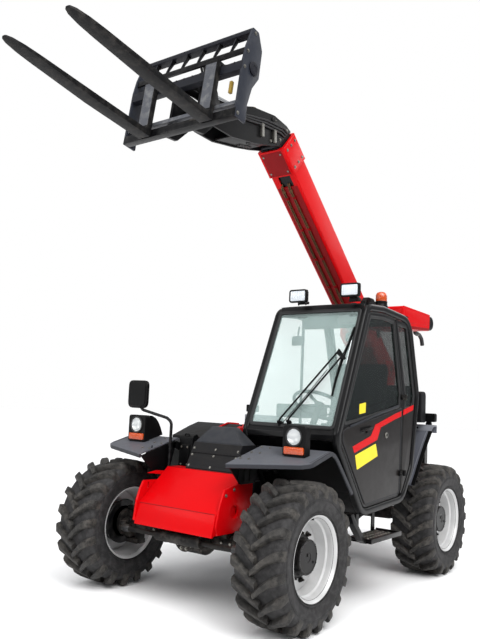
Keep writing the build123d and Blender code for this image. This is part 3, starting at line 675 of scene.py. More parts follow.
def tyre_geo(sx, phase=0.0):
    """Carcass and chevron lugs of one wheel, axis along x, centre at the origin."""
    side_prof = [(-136, 231), (-139, 246), (-147, 250), (-152, 262), (-160, 285), (-166, 312), (-169.5, 330), (-169.5, 334), (-167, 340), (-168.5, 352), (-166, 370), (-158, 385), (-146, 395),
                 (-120, 401), (-60, 404), (0, 405)]
    prof = side_prof + [(-a, r) for a, r in reversed(side_prof[:-1])]
    inner = [(130, 233), (110, 300), (60, 330), (-60, 330), (-110, 300), (-130, 233)]
    car = lathe(prof + inner, (0, 0, 0), (1, 0, 0), 112)
    for f in car.faces:
        c = f.calc_center_median()
        f.material_index = 1 if hypot(c.y, c.z) > 390 else 0
    # stations of one lug: axial place, top radius, root radius, advance along the tread, half width
    ST = [(-14, 440, 398, -8, 17), (16, 440, 398, 16, 20), (50, 440, 398, 46, 21), (86, 439, 397, 74, 22), (118, 438, 394, 94, 24), (142, 434, 388, 105, 26),
          (157, 423, 378, 110, 27), (165, 407, 366, 112, 27), (169, 388, 356, 113, 25), (169.5, 366, 352, 113, 20)]
    N = 20
    lugs = bmesh.new()
    for s in (1, -1):
        for i in range(N):
            t0 = 2 * pi * (i + (0.5 if s < 0 else 0.0)) / N + phase
            rings = []
            for a, rt, rb, adv, hw in ST:
                ring = []
                # six points over the lug: root, shoulder, crown, crown, shoulder, root
                for du, rr in ((-hw - 9, rb), (-hw, rt - 5), (-hw + 5, rt), (hw - 5, rt), (hw, rt - 5), (hw + 9, rb)):
                    th = t0 + (adv + du) / TR
                    ax = s * a
                    if a > 150 and rr >= rt - 6:
                        ax = s * (a + 0.2)
                    ring.append(lugs.verts.new((ax, -rr * cos(th), rr * sin(th))))
                rings.append(ring)
            for p, q in zip(rings, rings[1:]):
                for k in range(5):
                    lugs.faces.new((p[k], p[k + 1], q[k + 1], q[k]))
                lugs.faces.new((p[5], p[0], q[0], q[5]))
            lugs.faces.new(rings[0][::-1])
            lugs.faces.new(rings[-1])
    bmesh.ops.recalc_face_normals(lugs, faces=lugs.faces)
    # moulded rings on the wall
    ribs = bmesh.new()
    for s in (1, -1):
        for r0 in (262, 338):
            merge(ribs, lathe([(s * 158 if r0 == 262 else s * 166, r0), (s * (162 if r0 == 262 else 169.6), r0 + 1.5), (s * (162 if r0 == 262 else 169.6), r0 + 4.5), (s * 158 if r0 == 262 else s * 166, r0 + 6)], (0, 0, 0), (1, 0, 0), 96))
    return car, lugs, ribs


def rim_geo(sx):
    """Deep dished rim; outboard is +a for sx = 1."""
    lip = [(154, 250), (154, 246.5), (150.5, 243), (146, 240), (141, 236), (134, 231.5), (122, 229), (108, 228), (97, 226), (92, 221), (88, 216), (62, 213), (30, 211), (20, 209), (8, 208),
           (-40, 211), (-66, 215), (-90, 222), (-100, 227), (-134, 230), (-141, 236), (-150, 243), (-154, 247), (-154, 250), (-147, 250), (-142, 243), (-134, 236), (-90, 232.5), (-40, 224), (30, 222), (92, 232.5), (134, 236), (142, 243), (147, 250)]
    shell = lathe([(a * sx, r) for a, r in lip], (0, 0, 0), (1, 0, 0), 96)
    # wheel disc: flat face, pressed shoulder towards the rim
    disc = [(38, 118), (38, 150), (34, 158), (30, 172), (24, 190), (20, 204), (16, 212), (4, 212), (6, 203), (12, 186), (16, 170), (20, 156), (22, 118)]
    d = lathe([(a * sx, r) for a, r in disc], (0, 0, 0), (1, 0, 0), 96)
    valve = cyl((sx * 96, 0, 221), (sx * 138, 0, 226), 4, 1, 12)
    hub = [(-70, 60), (-70, 108), (10, 112), (22, 128), (40, 128), (43, 125), (43, 112), (47, 106), (52, 100), (82, 99.5), (84, 103), (96, 103), (99, 100), (99, 92), (97.5, 89), (97.5, 30), (95, 27), (95, 0)]
    h = lathe([(a * sx, r) for a, r in hub], (0, 0, 0), (1, 0, 0), 72, closed=False)
    studs, caps = [], []
    for i in range(10):
        t = 2 * pi * (i + 0.5) / 10
        y, z = 137 * cos(t), 137 * sin(t)
        studs.append(bolt((sx * 38, y, z), (sx, 0, 0), 24, 18))
        studs.append(cyl((sx * 54, y, z), (sx * 68, y, z), 7, 1.5, 12))
    for i in range(12):
        t = 2 * pi * i / 12
        caps.append(bolt((sx * 99, 96.2 * cos(t), 96.2 * sin(t)), (sx, 0, 0), 6.5, 3, False))
    plug = bolt((sx * 95, 0, 12), (sx, 0, 0), 16, 6)
    drain = bolt((sx * 97, 58, -40), (sx, 0, 0), 13, 6)
    back = lathe([(a * sx, r) for a, r in [(-70, 60), (-70, 150), (-64, 156), (-20, 150), (10, 128)]], (0, 0, 0), (1, 0, 0), 48, closed=False)
    return shell, d, valve, h, studs, caps + [plug, drain], back


AXLES = (("front", 0.0, -1), ("rear", 2100.0, 1))
for nm, y0, arm in AXLES:
    for sd, sx in (("left", 1), ("right", -1)):
        at = Matrix.Translation((sx * 765.0, y0, 440.0)) @ Matrix.Rotation(radians({"front_left": 4, "front_right": 9, "rear_left": 13, "rear_right": 2}[nm + "_" + sd]), 4, "X")
        car, lugs, ribs = tyre_geo(sx)
        w = "%s_%s_wheel" % (nm, sd)
        for g in (car, lugs, ribs):
            g.transform(at)
        side_part = bmesh.new()
        ob = piece("%s_%s_tyre_body" % (nm, sd), [(ribs, RUBBER), (lugs, TREAD)], w, "%s_%s_tyre" % (nm, sd), sharp=38)
        bmc = piece("%s_%s_tyre_carcass" % (nm, sd), [(car, RUBBER)], w, sharp=50)
        shell, disc, valve, hub, studs, caps, back = rim_geo(sx)
        for g in [shell, disc, valve, hub, back] + studs + caps:
            g.transform(at)
        piece("%s_%s_rim_body" % (nm, sd), [([shell, disc], RIM), ([valve], PLASTIC_BLACK)], w, "%s_%s_rim" % (nm, sd), sharp=24)
        piece("%s_%s_hub_drum" % (nm, sd), [([hub, back] + caps, BLACK), (studs, BLACK_OLD)], w, sharp=24)

# ------------------------------------------------------------------ cab
XR, XL, T = 117.0, 870.0, 40.0
C_OUT = [(298, 1149), (666, 2044), (931, 2060), (1413, 2030), (1595, 1443), (1500, 885), (1329, 646), (656, 604), (300, 1075)]
C_IN = [(345, 1152), (702, 2000), (935, 2014), (1372, 1988), (1541, 1440), (1448, 895), (1300, 690), (684, 652), (348, 1088)]
C_MID = [((a[0] + b[0]) / 2, (a[1] + b[1]) / 2) for a, b in zip(C_OUT, C_IN)]
C_RAD = [60, 95, 80, 190, 260, 230, 150, 130, 70]
RR = [(-19, -21), (19, -21), (24, -15), (24.5, 0), (24, 13), (20, 19), (12, 22), (-12, 22), (-20, 19), (-24, 13), (-24.5, 0), (-24, -15)]


def cab_ring(x, out, w=1.0):
    """Rounded post and sill ring round one side of the cab; out is +1 on the left."""
    path = [(x, y, z) for y, z in rounded(C_MID, C_RAD, 7)]
    sec = [(a * w, b * out) for a, b in RR]
    return sweep(path, sec, (1, 0, 0), closed=True)


def loop_strip(pts, fil, x, wid, thick, n=5):
    """Flat rubber or trim strip following an outline in (y, z) at depth x."""
    path = [(x, y, z) for y, z in rounded(pts, fil, n)]
    h, t = wid / 2, thick / 2
    sec = [(-h, -t), (h, -t), (h, t * 0.4), (h * 0.6, t), (-h * 0.6, t), (-h, t * 0.4)]
    return sweep(path, sec, (1, 0, 0), closed=True)


# shell that joins the two side rings: cowl, floor, back, roof beams
def belt(pts, x0, x1, t, r=4, fil=8):
    """Bent plate: open line in (y, z) thickened downwards or inwards by t."""
    P = [Vector((p[0], p[1])) for p in pts]
    nrm = []
    for i in range(len(P)):
        a = (P[i] - P[i - 1]).normalized() if i else (P[1] - P[0]).normalized()
        b = (P[i + 1] - P[i]).normalized() if i < len(P) - 1 else a
        d = (a + b).normalized()
        nrm.append(Vector((-d.y, d.x)) / max(0.5, (a.dot(d))))
    out = [tuple(p) for p in P] + [tuple(p + n * t) for p, n in reversed(list(zip(P, nrm)))]
    return ext(out, x0, x1, SIDE, r, 2)


ring_l = cab_ring(XL - 20, 1)
ring_r = cab_ring(XR + 20, -1)
cowl_front = belt([(330, 1200), (300, 1146), (303, 1112), (322, 1104)], XR + 30, XL - 30, 6, 2)
cowl_low = belt([(322, 1106), (338, 1090), (610, 676), (668, 618)], XR + 30, XL - 30, 10, 2)
floor = [ext([(560, 706), (1365, 706), (1372, 719), (571, 719)], XR + 20, 322, SIDE, 2), ext([(664, 618), (1318, 655), (1318, 667), (664, 632)], 310, XL - 30, SIDE, 2),
         ext([(655, 622), (1320, 652), (1368, 712), (590, 712)], 308, 324, SIDE, 2)]
rear_low = belt([(1320, 656), (1482, 888), (1560, 1330), (1580, 1450), (1562, 1515)], XR + 30, XL - 30, 12, 2)
beam_f = ext([(652, 1985), (688, 2046), (760, 2052), (764, 2026), (716, 2018), (690, 1990)], XR + 30, XL - 30, SIDE, 6, 3)
beam_r = ext([(1325, 2002), (1340, 2034), (1405, 2028), (1432, 1975), (1408, 1968), (1382, 2000)], XR + 30, XL - 30, SIDE, 6, 3)
lining = ext([(720, 2022), (931, 2032), (1370, 2006), (1370, 1996), (931, 2018), (724, 2008)], XR + 34, XL - 34, SIDE, 2)
piece("cab_shell", [([ring_l, ring_r, cowl_front, beam_f, beam_r], PANEL), ([cowl_low, rear_low] + floor, BLACK), ([lining], PLASTIC)], "chassis", "cab_frame", sharp=40)

# roof skin: crowned pressing with ribs on top
def roof():
    ys = [704, 720, 780, 850, 931, 1060, 1180, 1290, 1370, 1392]
    tz = [(704, 2060), (780, 2068), (931, 2077), (1180, 2070), (1392, 2048)]
    bz = [(704, 2047.6), (931, 2061.4), (1392, 2032.8)]

    def at(tab, y):
        for (y0, z0), (y1, z1) in zip(tab, tab[1:]):
            if y <= y1:
                return z0 + (z1 - z0) * (y - y0) / (y1 - y0)
        return tab[-1][1]

    bm = bmesh.new()
    n = 18
    top, bot = [], []
    for j in range(n + 1):
        u = j / n
        x = 131 + 725 * u
        crown = max(0.0, 1 - abs(2 * u - 1) ** 5) ** 0.6
        rt, rb = [], []
        for i, y in enumerate(ys):
            lo, hi = at(bz, y), at(tz, y)
            e = min(1.0, (y - 700) / 60, (1396 - y) / 60)
            rt.append(bm.verts.new((x, y, lo + 3 + (hi - lo - 3) * crown * max(0.15, e) ** 0.5)))
            rb.append(bm.verts.new((x, y, lo)))
        top.append(rt)
        bot.append(rb)
    for g, flip in ((top, 0), (bot, 1)):
        for j in range(n):
            for i in range(len(ys) - 1):
                f = [g[j][i], g[j + 1][i], g[j + 1][i + 1], g[j][i + 1]]
                bm.faces.new(f[::-1] if flip else f)
    for j in range(n):
        bm.faces.new((top[j][0], bot[j][0], bot[j + 1][0], top[j + 1][0]))
        bm.faces.new((top[j + 1][-1], bot[j + 1][-1], bot[j][-1], top[j][-1]))
    for i in range(len(ys) - 1):
        bm.faces.new((top[0][i + 1], bot[0][i + 1], bot[0][i], top[0][i]))
        bm.faces.new((top[-1][i], bot[-1][i], bot[-1][i + 1], top[-1][i + 1]))
    bmesh.ops.recalc_face_normals(bm, faces=bm.faces)
    return bm


ribs = [ext([(880, x - 9), (1180, x - 9), (1180, x + 9), (880, x + 9)], 2072, 2077.6, lambda u, v, d: (v, u, d), 2, 2, fil=8) for x in (330, 420, 510, 600, 690)]
piece("roof_skin", [([roof()], PLASTIC), (ribs, PLASTIC_BLACK)], "chassis", "cab_roof", sharp=40)

# glass and its rubber
WS = [(326, 1194), (657, 1998)]
wd = Vector((WS[1][0] - WS[0][0], WS[1][1] - WS[0][1])).normalized()


def ws_pt(x, t, off=0.0):
    """Point on the windscreen: x across, t up the glass, off outwards."""
    return (x, WS[0][0] + wd.x * t - wd.y * off, WS[0][1] + wd.y * t + wd.x * off)


def ws_plane(u, v, d):
    return ws_pt(u, v, d)


ws_out = [(XR + 44, -8), (XL - 44, -8), (XL - 44, 872), (XR + 44, 872)]
ws_n = (0, -wd.y, wd.x)
gas = sweep([ws_pt(x, t, 3) for x, t in rounded(ws_out, 34, 6)], [(-14, -7), (12, -7), (14, -3), (13, 4), (6, 8), (-6, 8), (-13, 3)], ws_n, closed=True)
band = ext([(XR + 62, 838), (XL - 62, 838), (XL - 62, 864), (XR + 62, 864)], -3, -1.5, ws_plane, 0)
RG = [(1567, 1503), (1418, 1982)]
rd = Vector((RG[1][0] - RG[0][0], RG[1][1] - RG[0][1])).normalized()


def rg_pt(x, t, off=0.0):
    return (x, RG[0][0] + rd.x * t + rd.y * off, RG[0][1] + rd.y * t - rd.x * off)


gas_r = sweep([rg_pt(x, t, 0) for x, t in rounded([(XR + 46, -6), (XL - 46, -6), (XL - 46, 508), (XR + 46, 508)], 40, 6)], [(-12, -8), (12, -8), (12, 8), (-12, 8)], (0, rd.y, -rd.x), closed=True)
R_OUT = [(356, 1158), (708, 1992), (937, 2006), (1364, 1982), (1532, 1440), (1483, 1158)]
gas_side = loop_strip(R_OUT, 60, XR + 16, 26, 14)
bar_r = ext([(1010, 1160), (1034, 1160), (1034, 2004), (1010, 2004)], XR + 10, XR + 24, SIDE, 3)
piece("cab_gaskets", [([gas, gas_r, gas_side, bar_r, band], GASKET)], "chassis", sharp=40)

# right lower panel, with a pressed field
rp = [(356, 1152), (356, 1098), (640, 728), (1316, 728), (1438, 902), (1480, 1152)]
rp_in = [(420, 1120), (420, 1108), (668, 770), (1296, 770), (1396, 912), (1430, 1120)]
piece("right_lower_panel", [([ext(rp, XR + 10, XR + 28, SIDE, 3, 2, fil=20)], PANEL), ([ext(rp_in, XR + 6, XR + 12, SIDE, 3, 3, fil=26)], PANEL),
                            ([bolt((XR + 10, y, z), (-1, 0, 0), 12, 6) for y, z in ((380, 1128), (660, 748), (980, 748), (1300, 748), (1408, 900), (1456, 1128))], STEEL)],
      "chassis", "cab_right_panel")

# door: pressed lower skin, slim upper frame, glass rubber, trim
DX = XL - 2
D_OUT = [(352, 1156), (706, 1995), (937, 2007), (1130, 1996), (1290, 1440), (1262, 696), (690, 660), (355, 1094)]
D_IN = [(398, 1225), (730, 1955), (935, 1968), (1100, 1956), (1238, 1440), (1228, 1350), (560, 1245)]


def with_hole(outer, inner, d0, d1, r, fo, fi):
    a = ext(outer, d0, d1, SIDE, 0, 1, fil=fo, fn=6)
    b = ext(inner, min(d0, d1) - 20, max(d0, d1) + 20, SIDE, 0, 1, fil=fi, fn=5)
    return bevel_bm(cut(a, b), r, 2, 50)


def shrink(pts, k):
    """Outline moved inwards by k."""
    P = [Vector(p) for p in pts]
    n = len(P)
    area = sum(P[i].x * P[(i + 1) % n].y - P[(i + 1) % n].x * P[i].y for i in range(n))
    sgn = 1 if area > 0 else -1
    out = []
    for i in range(n):
        a, b = (P[i] - P[i - 1]).normalized(), (P[(i + 1) % n] - P[i]).normalized()
        na, nb = Vector((-a.y, a.x)) * sgn, Vector((-b.y, b.x)) * sgn
        m = (na + nb)
        m = m / max(0.3, m.dot(na))
        out.append(tuple(P[i] + m * k))
    return out


D_FR = shrink(D_OUT, 5)
door_skin = with_hole(D_FR, D_IN, XL - 32, XL - 8, 2.5, 60, 18)
low = [(372, 1150), (372, 1106), (700, 682), (1240, 716), (1268, 1338), (560, 1232), (400, 1212)]
low = [(366, 1178), (366, 1110), (704, 676), (1250, 712), (1272, 1340), (420, 1196)]
door_low = ext(low, XL - 12, XL - 3.5, SIDE, 2.5, 3, fil=[30, 40, 60, 50, 8, 12], fn=6)
rub_d = loop_strip(D_FR, 62, XL - 13, 13, 14)
edge_l = loop_strip(shrink(low, 6), [26, 36, 54, 44, 6, 10], XL - 3.0, 3.2, 3.0)
win_r = loop_strip(shrink(D_IN, -4), 22, XL - 10, 22, 9)
trim = ext([(462, 1197), (466, 1211), (1201, 1360), (1199, 1346)], DX - 3, DX + 4, SIDE, 2, 2)
handle = []
hb = Vector((DX - 3, 690, 1172))
recess = ext([(604, 1150), (775, 1180), (782, 1212), (610, 1198)], DX - 5, DX - 0.5, SIDE, 2, 2, fil=14)
grip = tube([(DX - 2, 630, 1174), (DX + 16, 642, 1178), (DX + 20, 690, 1188), (DX + 20, 740, 1196), (DX + 2, 756, 1198)], 7.5, 14, 10)
push = cyl((DX - 2, 706, 1168), (DX + 8, 706, 1168), 11, 2, 24)
lock_b = lathe([(0, 0), (0, 21), (5, 21), (8, 18), (8, 12), (5, 11), (5, 0)], (DX - 2, 1012, 1140), (1, 0, 0), 32, closed=False)
lock_k = ext([(1008, 1128), (1016, 1128), (1016, 1152), (1008, 1152)], DX + 2, DX + 8, SIDE, 1, 1)
stay = tube([(DX - 40, 470, 1240), (DX - 60, 760, 1330), (DX - 55, 1180, 1395)], 9, 30, 8)
hinge_geo = []
for z0, ya in ((838, 1236), (1396, 1258)):
    hinge_geo.append(cyl((884, 1300, z0 + 1), (884, 1300, z0 + 43), 11.5, 2, 24))
    hinge_geo.append(ext([(ya, z0 + 2), (1300, z0 + 6), (1300, z0 + 38), (ya, z0 + 42)], XL - 3, XL + 9, SIDE, 2, 2, fil=5))
    hinge_geo += [bolt((XL + 9, ya + 14, z0 + 12), (1, 0, 0), 11, 6), bolt((XL + 9, ya + 14, z0 + 32), (1, 0, 0), 11, 6)]
piece("door_frame", [([door_skin], BLACK), ([door_low], PANEL_WARM), ([rub_d, win_r], GASKET), ([edge_l, trim], COVER_GREY), ([recess, grip, push, stay], PLASTIC_BLACK), ([lock_b], STEEL), ([lock_k], BLACK)],
      "door", "door_panel", sharp=34)
piece("door_hinges", [(hinge_geo, BLACK_OLD)], "door")
# fixed leaf of the hinges, on the post
leaf = [ext([(1306, z0 + 4), (1350, z0 + 4), (1350, z0 + 40), (1306, z0 + 40)], XL - 10, XL + 4, SIDE, 2, 2, fil=5) for z0 in (838, 1396)]
leaf += [bolt((XL + 4, 1334, z0 + z), (1, 0, 0), 11, 6) for z0 in (838, 1396) for z in (12, 32)]

# quarter panel behind the door
Q_OUT = [(1139, 1994), (1350, 1982), (1366, 1968), (1532, 1440), (1441, 902), (1300, 712), (1272, 704), (1297, 1440)]
Q_IN = [(1178, 1957), (1338, 1946), (1492, 1440), (1480, 1350), (1340, 1340), (1342, 1440)]
q_skin = with_hole(shrink(Q_OUT, 3), Q_IN, XL - 32, XL - 8, 2, 12, 10)
q_low = ext([(1286, 728), (1306, 740), (1420, 912), (1494, 1352), (1310, 1330)], XL - 14, XL - 5, SIDE, 2.5, 3, fil=[10, 30, 40, 6, 6])
q_rub = loop_strip(shrink(Q_IN, -3), 16, XL - 11, 18, 9)
piece("quarter_skin", [([q_skin], BLACK), ([q_low], PANEL_WARM), ([q_rub], GASKET), (leaf, BLACK_OLD)], "chassis", "cab_quarter_panel", sharp=34)

# stripe and blank labels lie on the skins
STR_D = [(507, 1072), (534, 1030), (868, 1110), (919, 1196), (1150, 1252), (1262, 1276), (1266, 1316), (1166, 1296), (834, 1214), (811, 1184), (768, 1138)]
piece("door_stripe", [([ext(STR_D, XL - 4, XL - 2.2, SIDE, 0.5, 1)], RED)], "door")
piece("door_label", [([ext([(545, 1014), (847, 1084), (881, 998), (576, 919)], XL - 4, XL - 2.4, SIDE, 0.5, 1, fil=6)], YELLOW)], "door")
piece("glass_label", [([ext([(612, 1284), (612, 1352), (706, 1366), (704, 1296)], XL - 15.6, XL - 14.6, SIDE, 0.3, 1, fil=6)], YELLOW)], "door")
piece("quarter_stripe", [([ext([(1300, 1284), (1482, 1326), (1489, 1366), (1304, 1324)], XL - 6, XL - 3.6, SIDE, 0.5, 1)], RED)], "chassis")

for nm in ("cab_glass",):
    NODES[nm].data.materials.clear()
    NODES[nm].data.materials.append(GLASS)
for nm in ("door_glass", "cab_quarter_glass"):
    NODES[nm].data.materials.clear()
    NODES[nm].data.materials.append(GLASS_PAINTED_SHADE)

# wiper: two parallel arms and a blade parked along the left post
def wpt(x, t, off):
    return ws_pt(x, t, off)


p1, p2 = wpt(413, 2, 6), wpt(483, 10, 6)
e1, e2 = wpt(746, 545, 26), wpt(780, 500, 26)
wip = [tube([wpt(413, 6, 26), wpt(425, 30, 34), wpt(735, 525, 30), e1], 6.5, 20, 8), tube([wpt(483, 14, 26), wpt(494, 36, 34), wpt(768, 482, 30), e2], 6.5, 20, 8)]
for x, t in ((413, 6), (483, 14)):
    wip.append(lathe([(0, 0), (0, 17), (14, 16), (20, 12), (34, 11), (40, 7), (40, 0)], wpt(x, t, -2), ws_n, 20, closed=False))
    wip.append(cyl(wpt(x, t - 24, 10), wpt(x, t + 10, 26), 8, 2, 12))
head = ext([(728, 520), (800, 470), (812, 486), (742, 560)], 22, 34, ws_plane, 3, 2, fil=8)
wip.append(head)
blade_t = [wpt(812, 730, 16), wpt(798, 600, 20), wpt(776, 500, 22), wpt(764, 340, 19), wpt(762, 215, 14)]
wip.append(tube(blade_t, 5, 60, 8))
wip.append(sweep([wpt(813, 728, 8), wpt(800, 600, 8), wpt(778, 480, 8), wpt(766, 340, 8), wpt(763, 216, 8)], [(-3, -5), (3, -5), (5, 4), (-5, 4)], ws_n))
for k, (x, t) in enumerate(((806, 668), (786, 545), (768, 410), (763, 280))):
    wip.append(tube([wpt(x, t, 20), wpt(x, t, 9)], 5, 0, 8))
wip.append(tube([wpt(440, -6, 22), wpt(600, 240, 30), wpt(690, 400, 26)], 3, 30, 6))
piece("wiper_set", [(wip, PLASTIC_BLACK)], "chassis", "wipers")

# ------------------------------------------------------------------ lamps, beacon, mirror
work, wlens, wbez, wrefl = [], [], [], []
for x, zc in ((776, 2131), (356, 2110)):
    tp = lambda u, v, d: (x + u, 600 + d, zc + v)
    work.append(ext([(-71, -40), (-66, -46), (66, -46), (71, -40), (71, 40), (66, 46), (-66, 46), (-71, 40)], -22, 4, tp, 5, 3, fil=10))
    work.append(ext([(-60, -38), (60, -38), (60, 38), (-60, 38)], 2, 29, tp, 9, 3, fil=16))
    work += [ext([(-52 + 13 * k, -36), (-47 + 13 * k, -36), (-47 + 13 * k, 36), (-52 + 13 * k, 36)], 24, 31, tp, 1.2, 1) for k in range(9)]
    wbez.append(sweep([tp(u, v, -24) for u, v in rounded([(-68, -42), (68, -42), (68, 42), (-68, 42)], 15, 5)], [(-5, -6), (4, -6), (5, 0), (4, 6), (-3, 6), (-5, 3)], (0, -1, 0), closed=True))
    wlens.append(ext([(-63, -37), (63, -37), (63, 37), (-63, 37)], -20, -26, tp, 2, 3, fil=12))
    wlens += [ext([(-60 + 15 * k, -34), (-47 + 15 * k, -34), (-47 + 15 * k, 34), (-60 + 15 * k, 34)], -25, -28.2, tp, 2.2, 2, fil=2) for k in range(8)]
    work += [ext([(x - 34, 2062), (x + 34, 2062), (x + 30, zc - 38), (x - 30, zc - 38)], 628, 648, FRONT, 5, 3, fil=6),
             ext([(630, 2053), (690, 2063), (690, 2083), (650, zc - 34), (632, zc - 34)], x - 30, x + 30, SIDE, 4, 2, fil=6),
             bolt((x + 30, 640, zc - 52), (1, 0, 0), 12, 5), bolt((x - 30, 640, zc - 52), (-1, 0, 0), 12, 5)]
    # mounting plate seen through the head of the windscreen
    work.append(ext([(x - 52, 856), (x + 52, 856), (x + 34, 826), (x - 34, 826)], -4, -16, ws_plane, 2, 2, fil=8))
piece("work_lamp_bodies", [(work + wbez, PLASTIC_BLACK), (wlens, WHITE_LENS)], "chassis", "work_lamps", sharp=35)

bx, by = 752, 1120
dome = lathe([(46, 0), (46, 40), (52, 42), (96, 41), (110, 34), (118, 20), (121, 0)], (bx, by, 2079), (0, 0, 1), 48, closed=False)
rings = [lathe([(z, 41.0), (z + 1.8, 43.4), (z + 3.6, 41.0)], (bx, by, 2079), (0, 0, 1), 48) for z in (56, 66, 76, 86)]
foot = lathe([(0, 0), (0, 49), (10, 50), (16, 46), (38, 44), (42, 46), (46, 45), (48, 40), (48, 0)], (bx, by, 2079), (0, 0, 1), 48, closed=False)
hump_r = [ext([(985, 2076), (1184, 2066), (1176, 2112), (1128, 2150), (1040, 2152), (1000, 2118)], 642, 686, SIDE, 7, 3, fil=[8, 8, 18, 24, 24, 18]), tube([(640, 1010, 2070), (648, 1016, 2102), (672, 1040, 2108), (700, 1080, 2096), (706, 1090, 2078)], 12, 20, 12), tube([(570, 960, 2070), (576, 980, 2096), (600, 1000, 2100), (620, 1020, 2078)], 9, 18, 12)]
socket = lathe([(0, 0), (0, 24), (16, 24), (20, 20), (20, 0)], (690, 1030, 2076), (0, 0, 1), 24, closed=False)
piece("beacon_lamp", [([dome] + rings, AMBER), ([foot, socket] + hump_r, PLASTIC_BLACK)], "chassis", "beacon", sharp=50)

# headlamps: shallow box over the wing's front, round lens above the indicator, thin cheek plate at the inner side
hl, hlens, hamb, hring, hrefl = [], [], [], [], []
for sx, xi, xo in ((1, 624, 792), (-1, 576, 744)):
    cx = (xi + xo) / 2
    base = [(40, 1009), (98, 1025), (98, 1194), (92, 1202), (46, 1202), (40, 1196)]
    shell = ext([(xi, 1016), (xo, 1016), (xo, 1202), (xi, 1202)], 40, 98, FRONT, 7, 3, fil=[6, 6, 22, 22], fn=5)
    shell = cut(shell, cyl((cx, 30, 1132), (cx, 72, 1132), 54.5, 0.5, 44), ext([(xi + 8, 1020), (xo - 8, 1020), (xo - 8, 1074), (xi + 8, 1074)], 30, 52, FRONT, 0, 1, fil=6))
    bezel = lathe([(-4, 50), (-4, 58), (1, 61), (6, 60), (8, 56), (5, 50)], (cx, 40, 1132), (0, -1, 0), 48)
    refl = lathe([(-28, 0), (-26, 20), (-16, 38), (-2, 50), (0, 50.5), (-18, 39), (-29, 20), (-31, 0)], (cx, 40, 1132), (0, -1, 0), 40, closed=False)
    bulb = lathe([(-28, 0), (-28, 10), (-10, 10), (-5, 6), (-4, 0)], (cx, 40, 1132), (0, -1, 0), 20, closed=False)
    ln = lathe([(1, 0), (1, 50), (4, 50), (8, 43), (11.5, 24), (12, 0)], (cx, 40, 1132), (0, -1, 0), 48, closed=False)
    amb = ext([(xi + 12, 1024), (xo - 12, 1024), (xo - 12, 1070), (xi + 12, 1070)], 50, 33, FRONT, 6, 3, fil=8)
    ambs = [ext([(xi + 18 + 12.2 * k, 1029), (xi + 22 + 12.2 * k, 1029), (xi + 22 + 12.2 * k, 1065), (xi + 18 + 12.2 * k, 1065)], 34, 31.2, FRONT, 1, 1) for k in range(11)]
    cheek = ext([(92, 1026), (92, 1201), (112, 1200), (152, 1184), (184, 1152), (206, 1118), (232, 1066), (233, 1060)], xi + 1, xi + 14, SIDE, 3, 2, fil=[2, 4, 30, 40, 40, 40, 8, 2])
    rib = sweep([(xi + 14, y, z) for y, z in rounded([(98, 1196), (112, 1195), (150, 1178), (180, 1148), (202, 1114), (224, 1070)], 30, 4)], [(-4, -2), (4, -2), (4, 3), (-4, 3)], (1, 0, 0))
    foot = ext([(xi + 8, 1006), (xo - 8, 1006), (xo - 12, 1022), (xi + 12, 1022)], 46, 94, FRONT, 4, 2)
    scr = [bolt((xi + 14, 112, 1176), (1, 0, 0), 10, 4), bolt((xi + 14, 112, 1050), (1, 0, 0), 10, 4)]
    grp = [([shell, foot, cheek, rib] + scr, hl), ([bezel], hring), ([refl, bulb], hrefl), ([ln], hlens), ([amb] + ambs, hamb)]
    for gs, dst in grp:
        for g in gs:
            dst.append(g if sx > 0 else moved(g, Matrix.Scale(-1, 4, (1, 0, 0))))
piece("headlamp_bodies", [(hl, PLASTIC_BLACK), (hring, GASKET), (hrefl, REFLECTOR), (hlens, CLEAR), (hamb, AMBER)], "chassis", "headlamps", sharp=36)

# mirror
MY = 78
mtube = tube([(-356, MY, 792), (-352, MY, 1166), (-400, MY, 1194), (-645, MY, 1240), (-668, MY, 1262)], 11, 46, 14)
mfoot = [fbox(-372, -333, 50, 106, 781, 792, 3), cyl((-356, MY, 792), (-356, MY, 830), 16, 3, 20)] + [bolt((x, y, 792), (0, 0, 1), 10, 6) for x in (-366, -340) for y in (57, 99)]
mcol = [cyl((-354, MY, 960), (-354, MY, 980), 14, 2, 20)]
hous = ext([(-798, 1251), (-602, 1251), (-602, 1457), (-798, 1457)], 66, 95, FRONT, 11, 4, fil=[48, 48, 40, 40])
bulge = ext([(-784, 1266), (-616, 1266), (-616, 1442), (-784, 1442)], 61, 72, FRONT, 5, 3, fil=38)
face = ext([(-788, 1261), (-612, 1261), (-612, 1447), (-788, 1447)], 94.6, 95.4, FRONT, 0.3, 1, fil=36)
spine = ext([(-684, 1252), (-656, 1252), (-656, 1440), (-684, 1440)], 61.5, 68, FRONT, 3, 3, fil=5)
clamp = [cyl((-670, 61.5, 1350), (-670, 74, 1350), 19, 3, 24), fbox(-708, -632, 62, 72, 1340, 1360, 3), bolt((-700, 62, 1350), (0, -1, 0), 9, 0.5), bolt((-640, 62, 1350), (0, -1, 0), 9, 0.5)]
piece("mirror_set", [([mtube] + mfoot + mcol, BLACK), ([hous, bulge, spine] + clamp, PLASTIC_BLACK), ([face], MIRROR)], "chassis", "mirror", sharp=36)

# ------------------------------------------------------------------ front wings
def wing_z(y):
    return 995 + 0.27 * y


WTOP = [(-178, wing_z(-178)), (-100, wing_z(-100)), (0, wing_z(0)), (100, wing_z(100)), (190, wing_z(190)), (205, 1050.4), (228, 1043), (255, 1032), (281, 1010), (305, 987), (400, 885), (494, 782)]


def flip(bm):
    return moved(bm, Matrix.Scale(-1, 4, (1, 0, 0)))


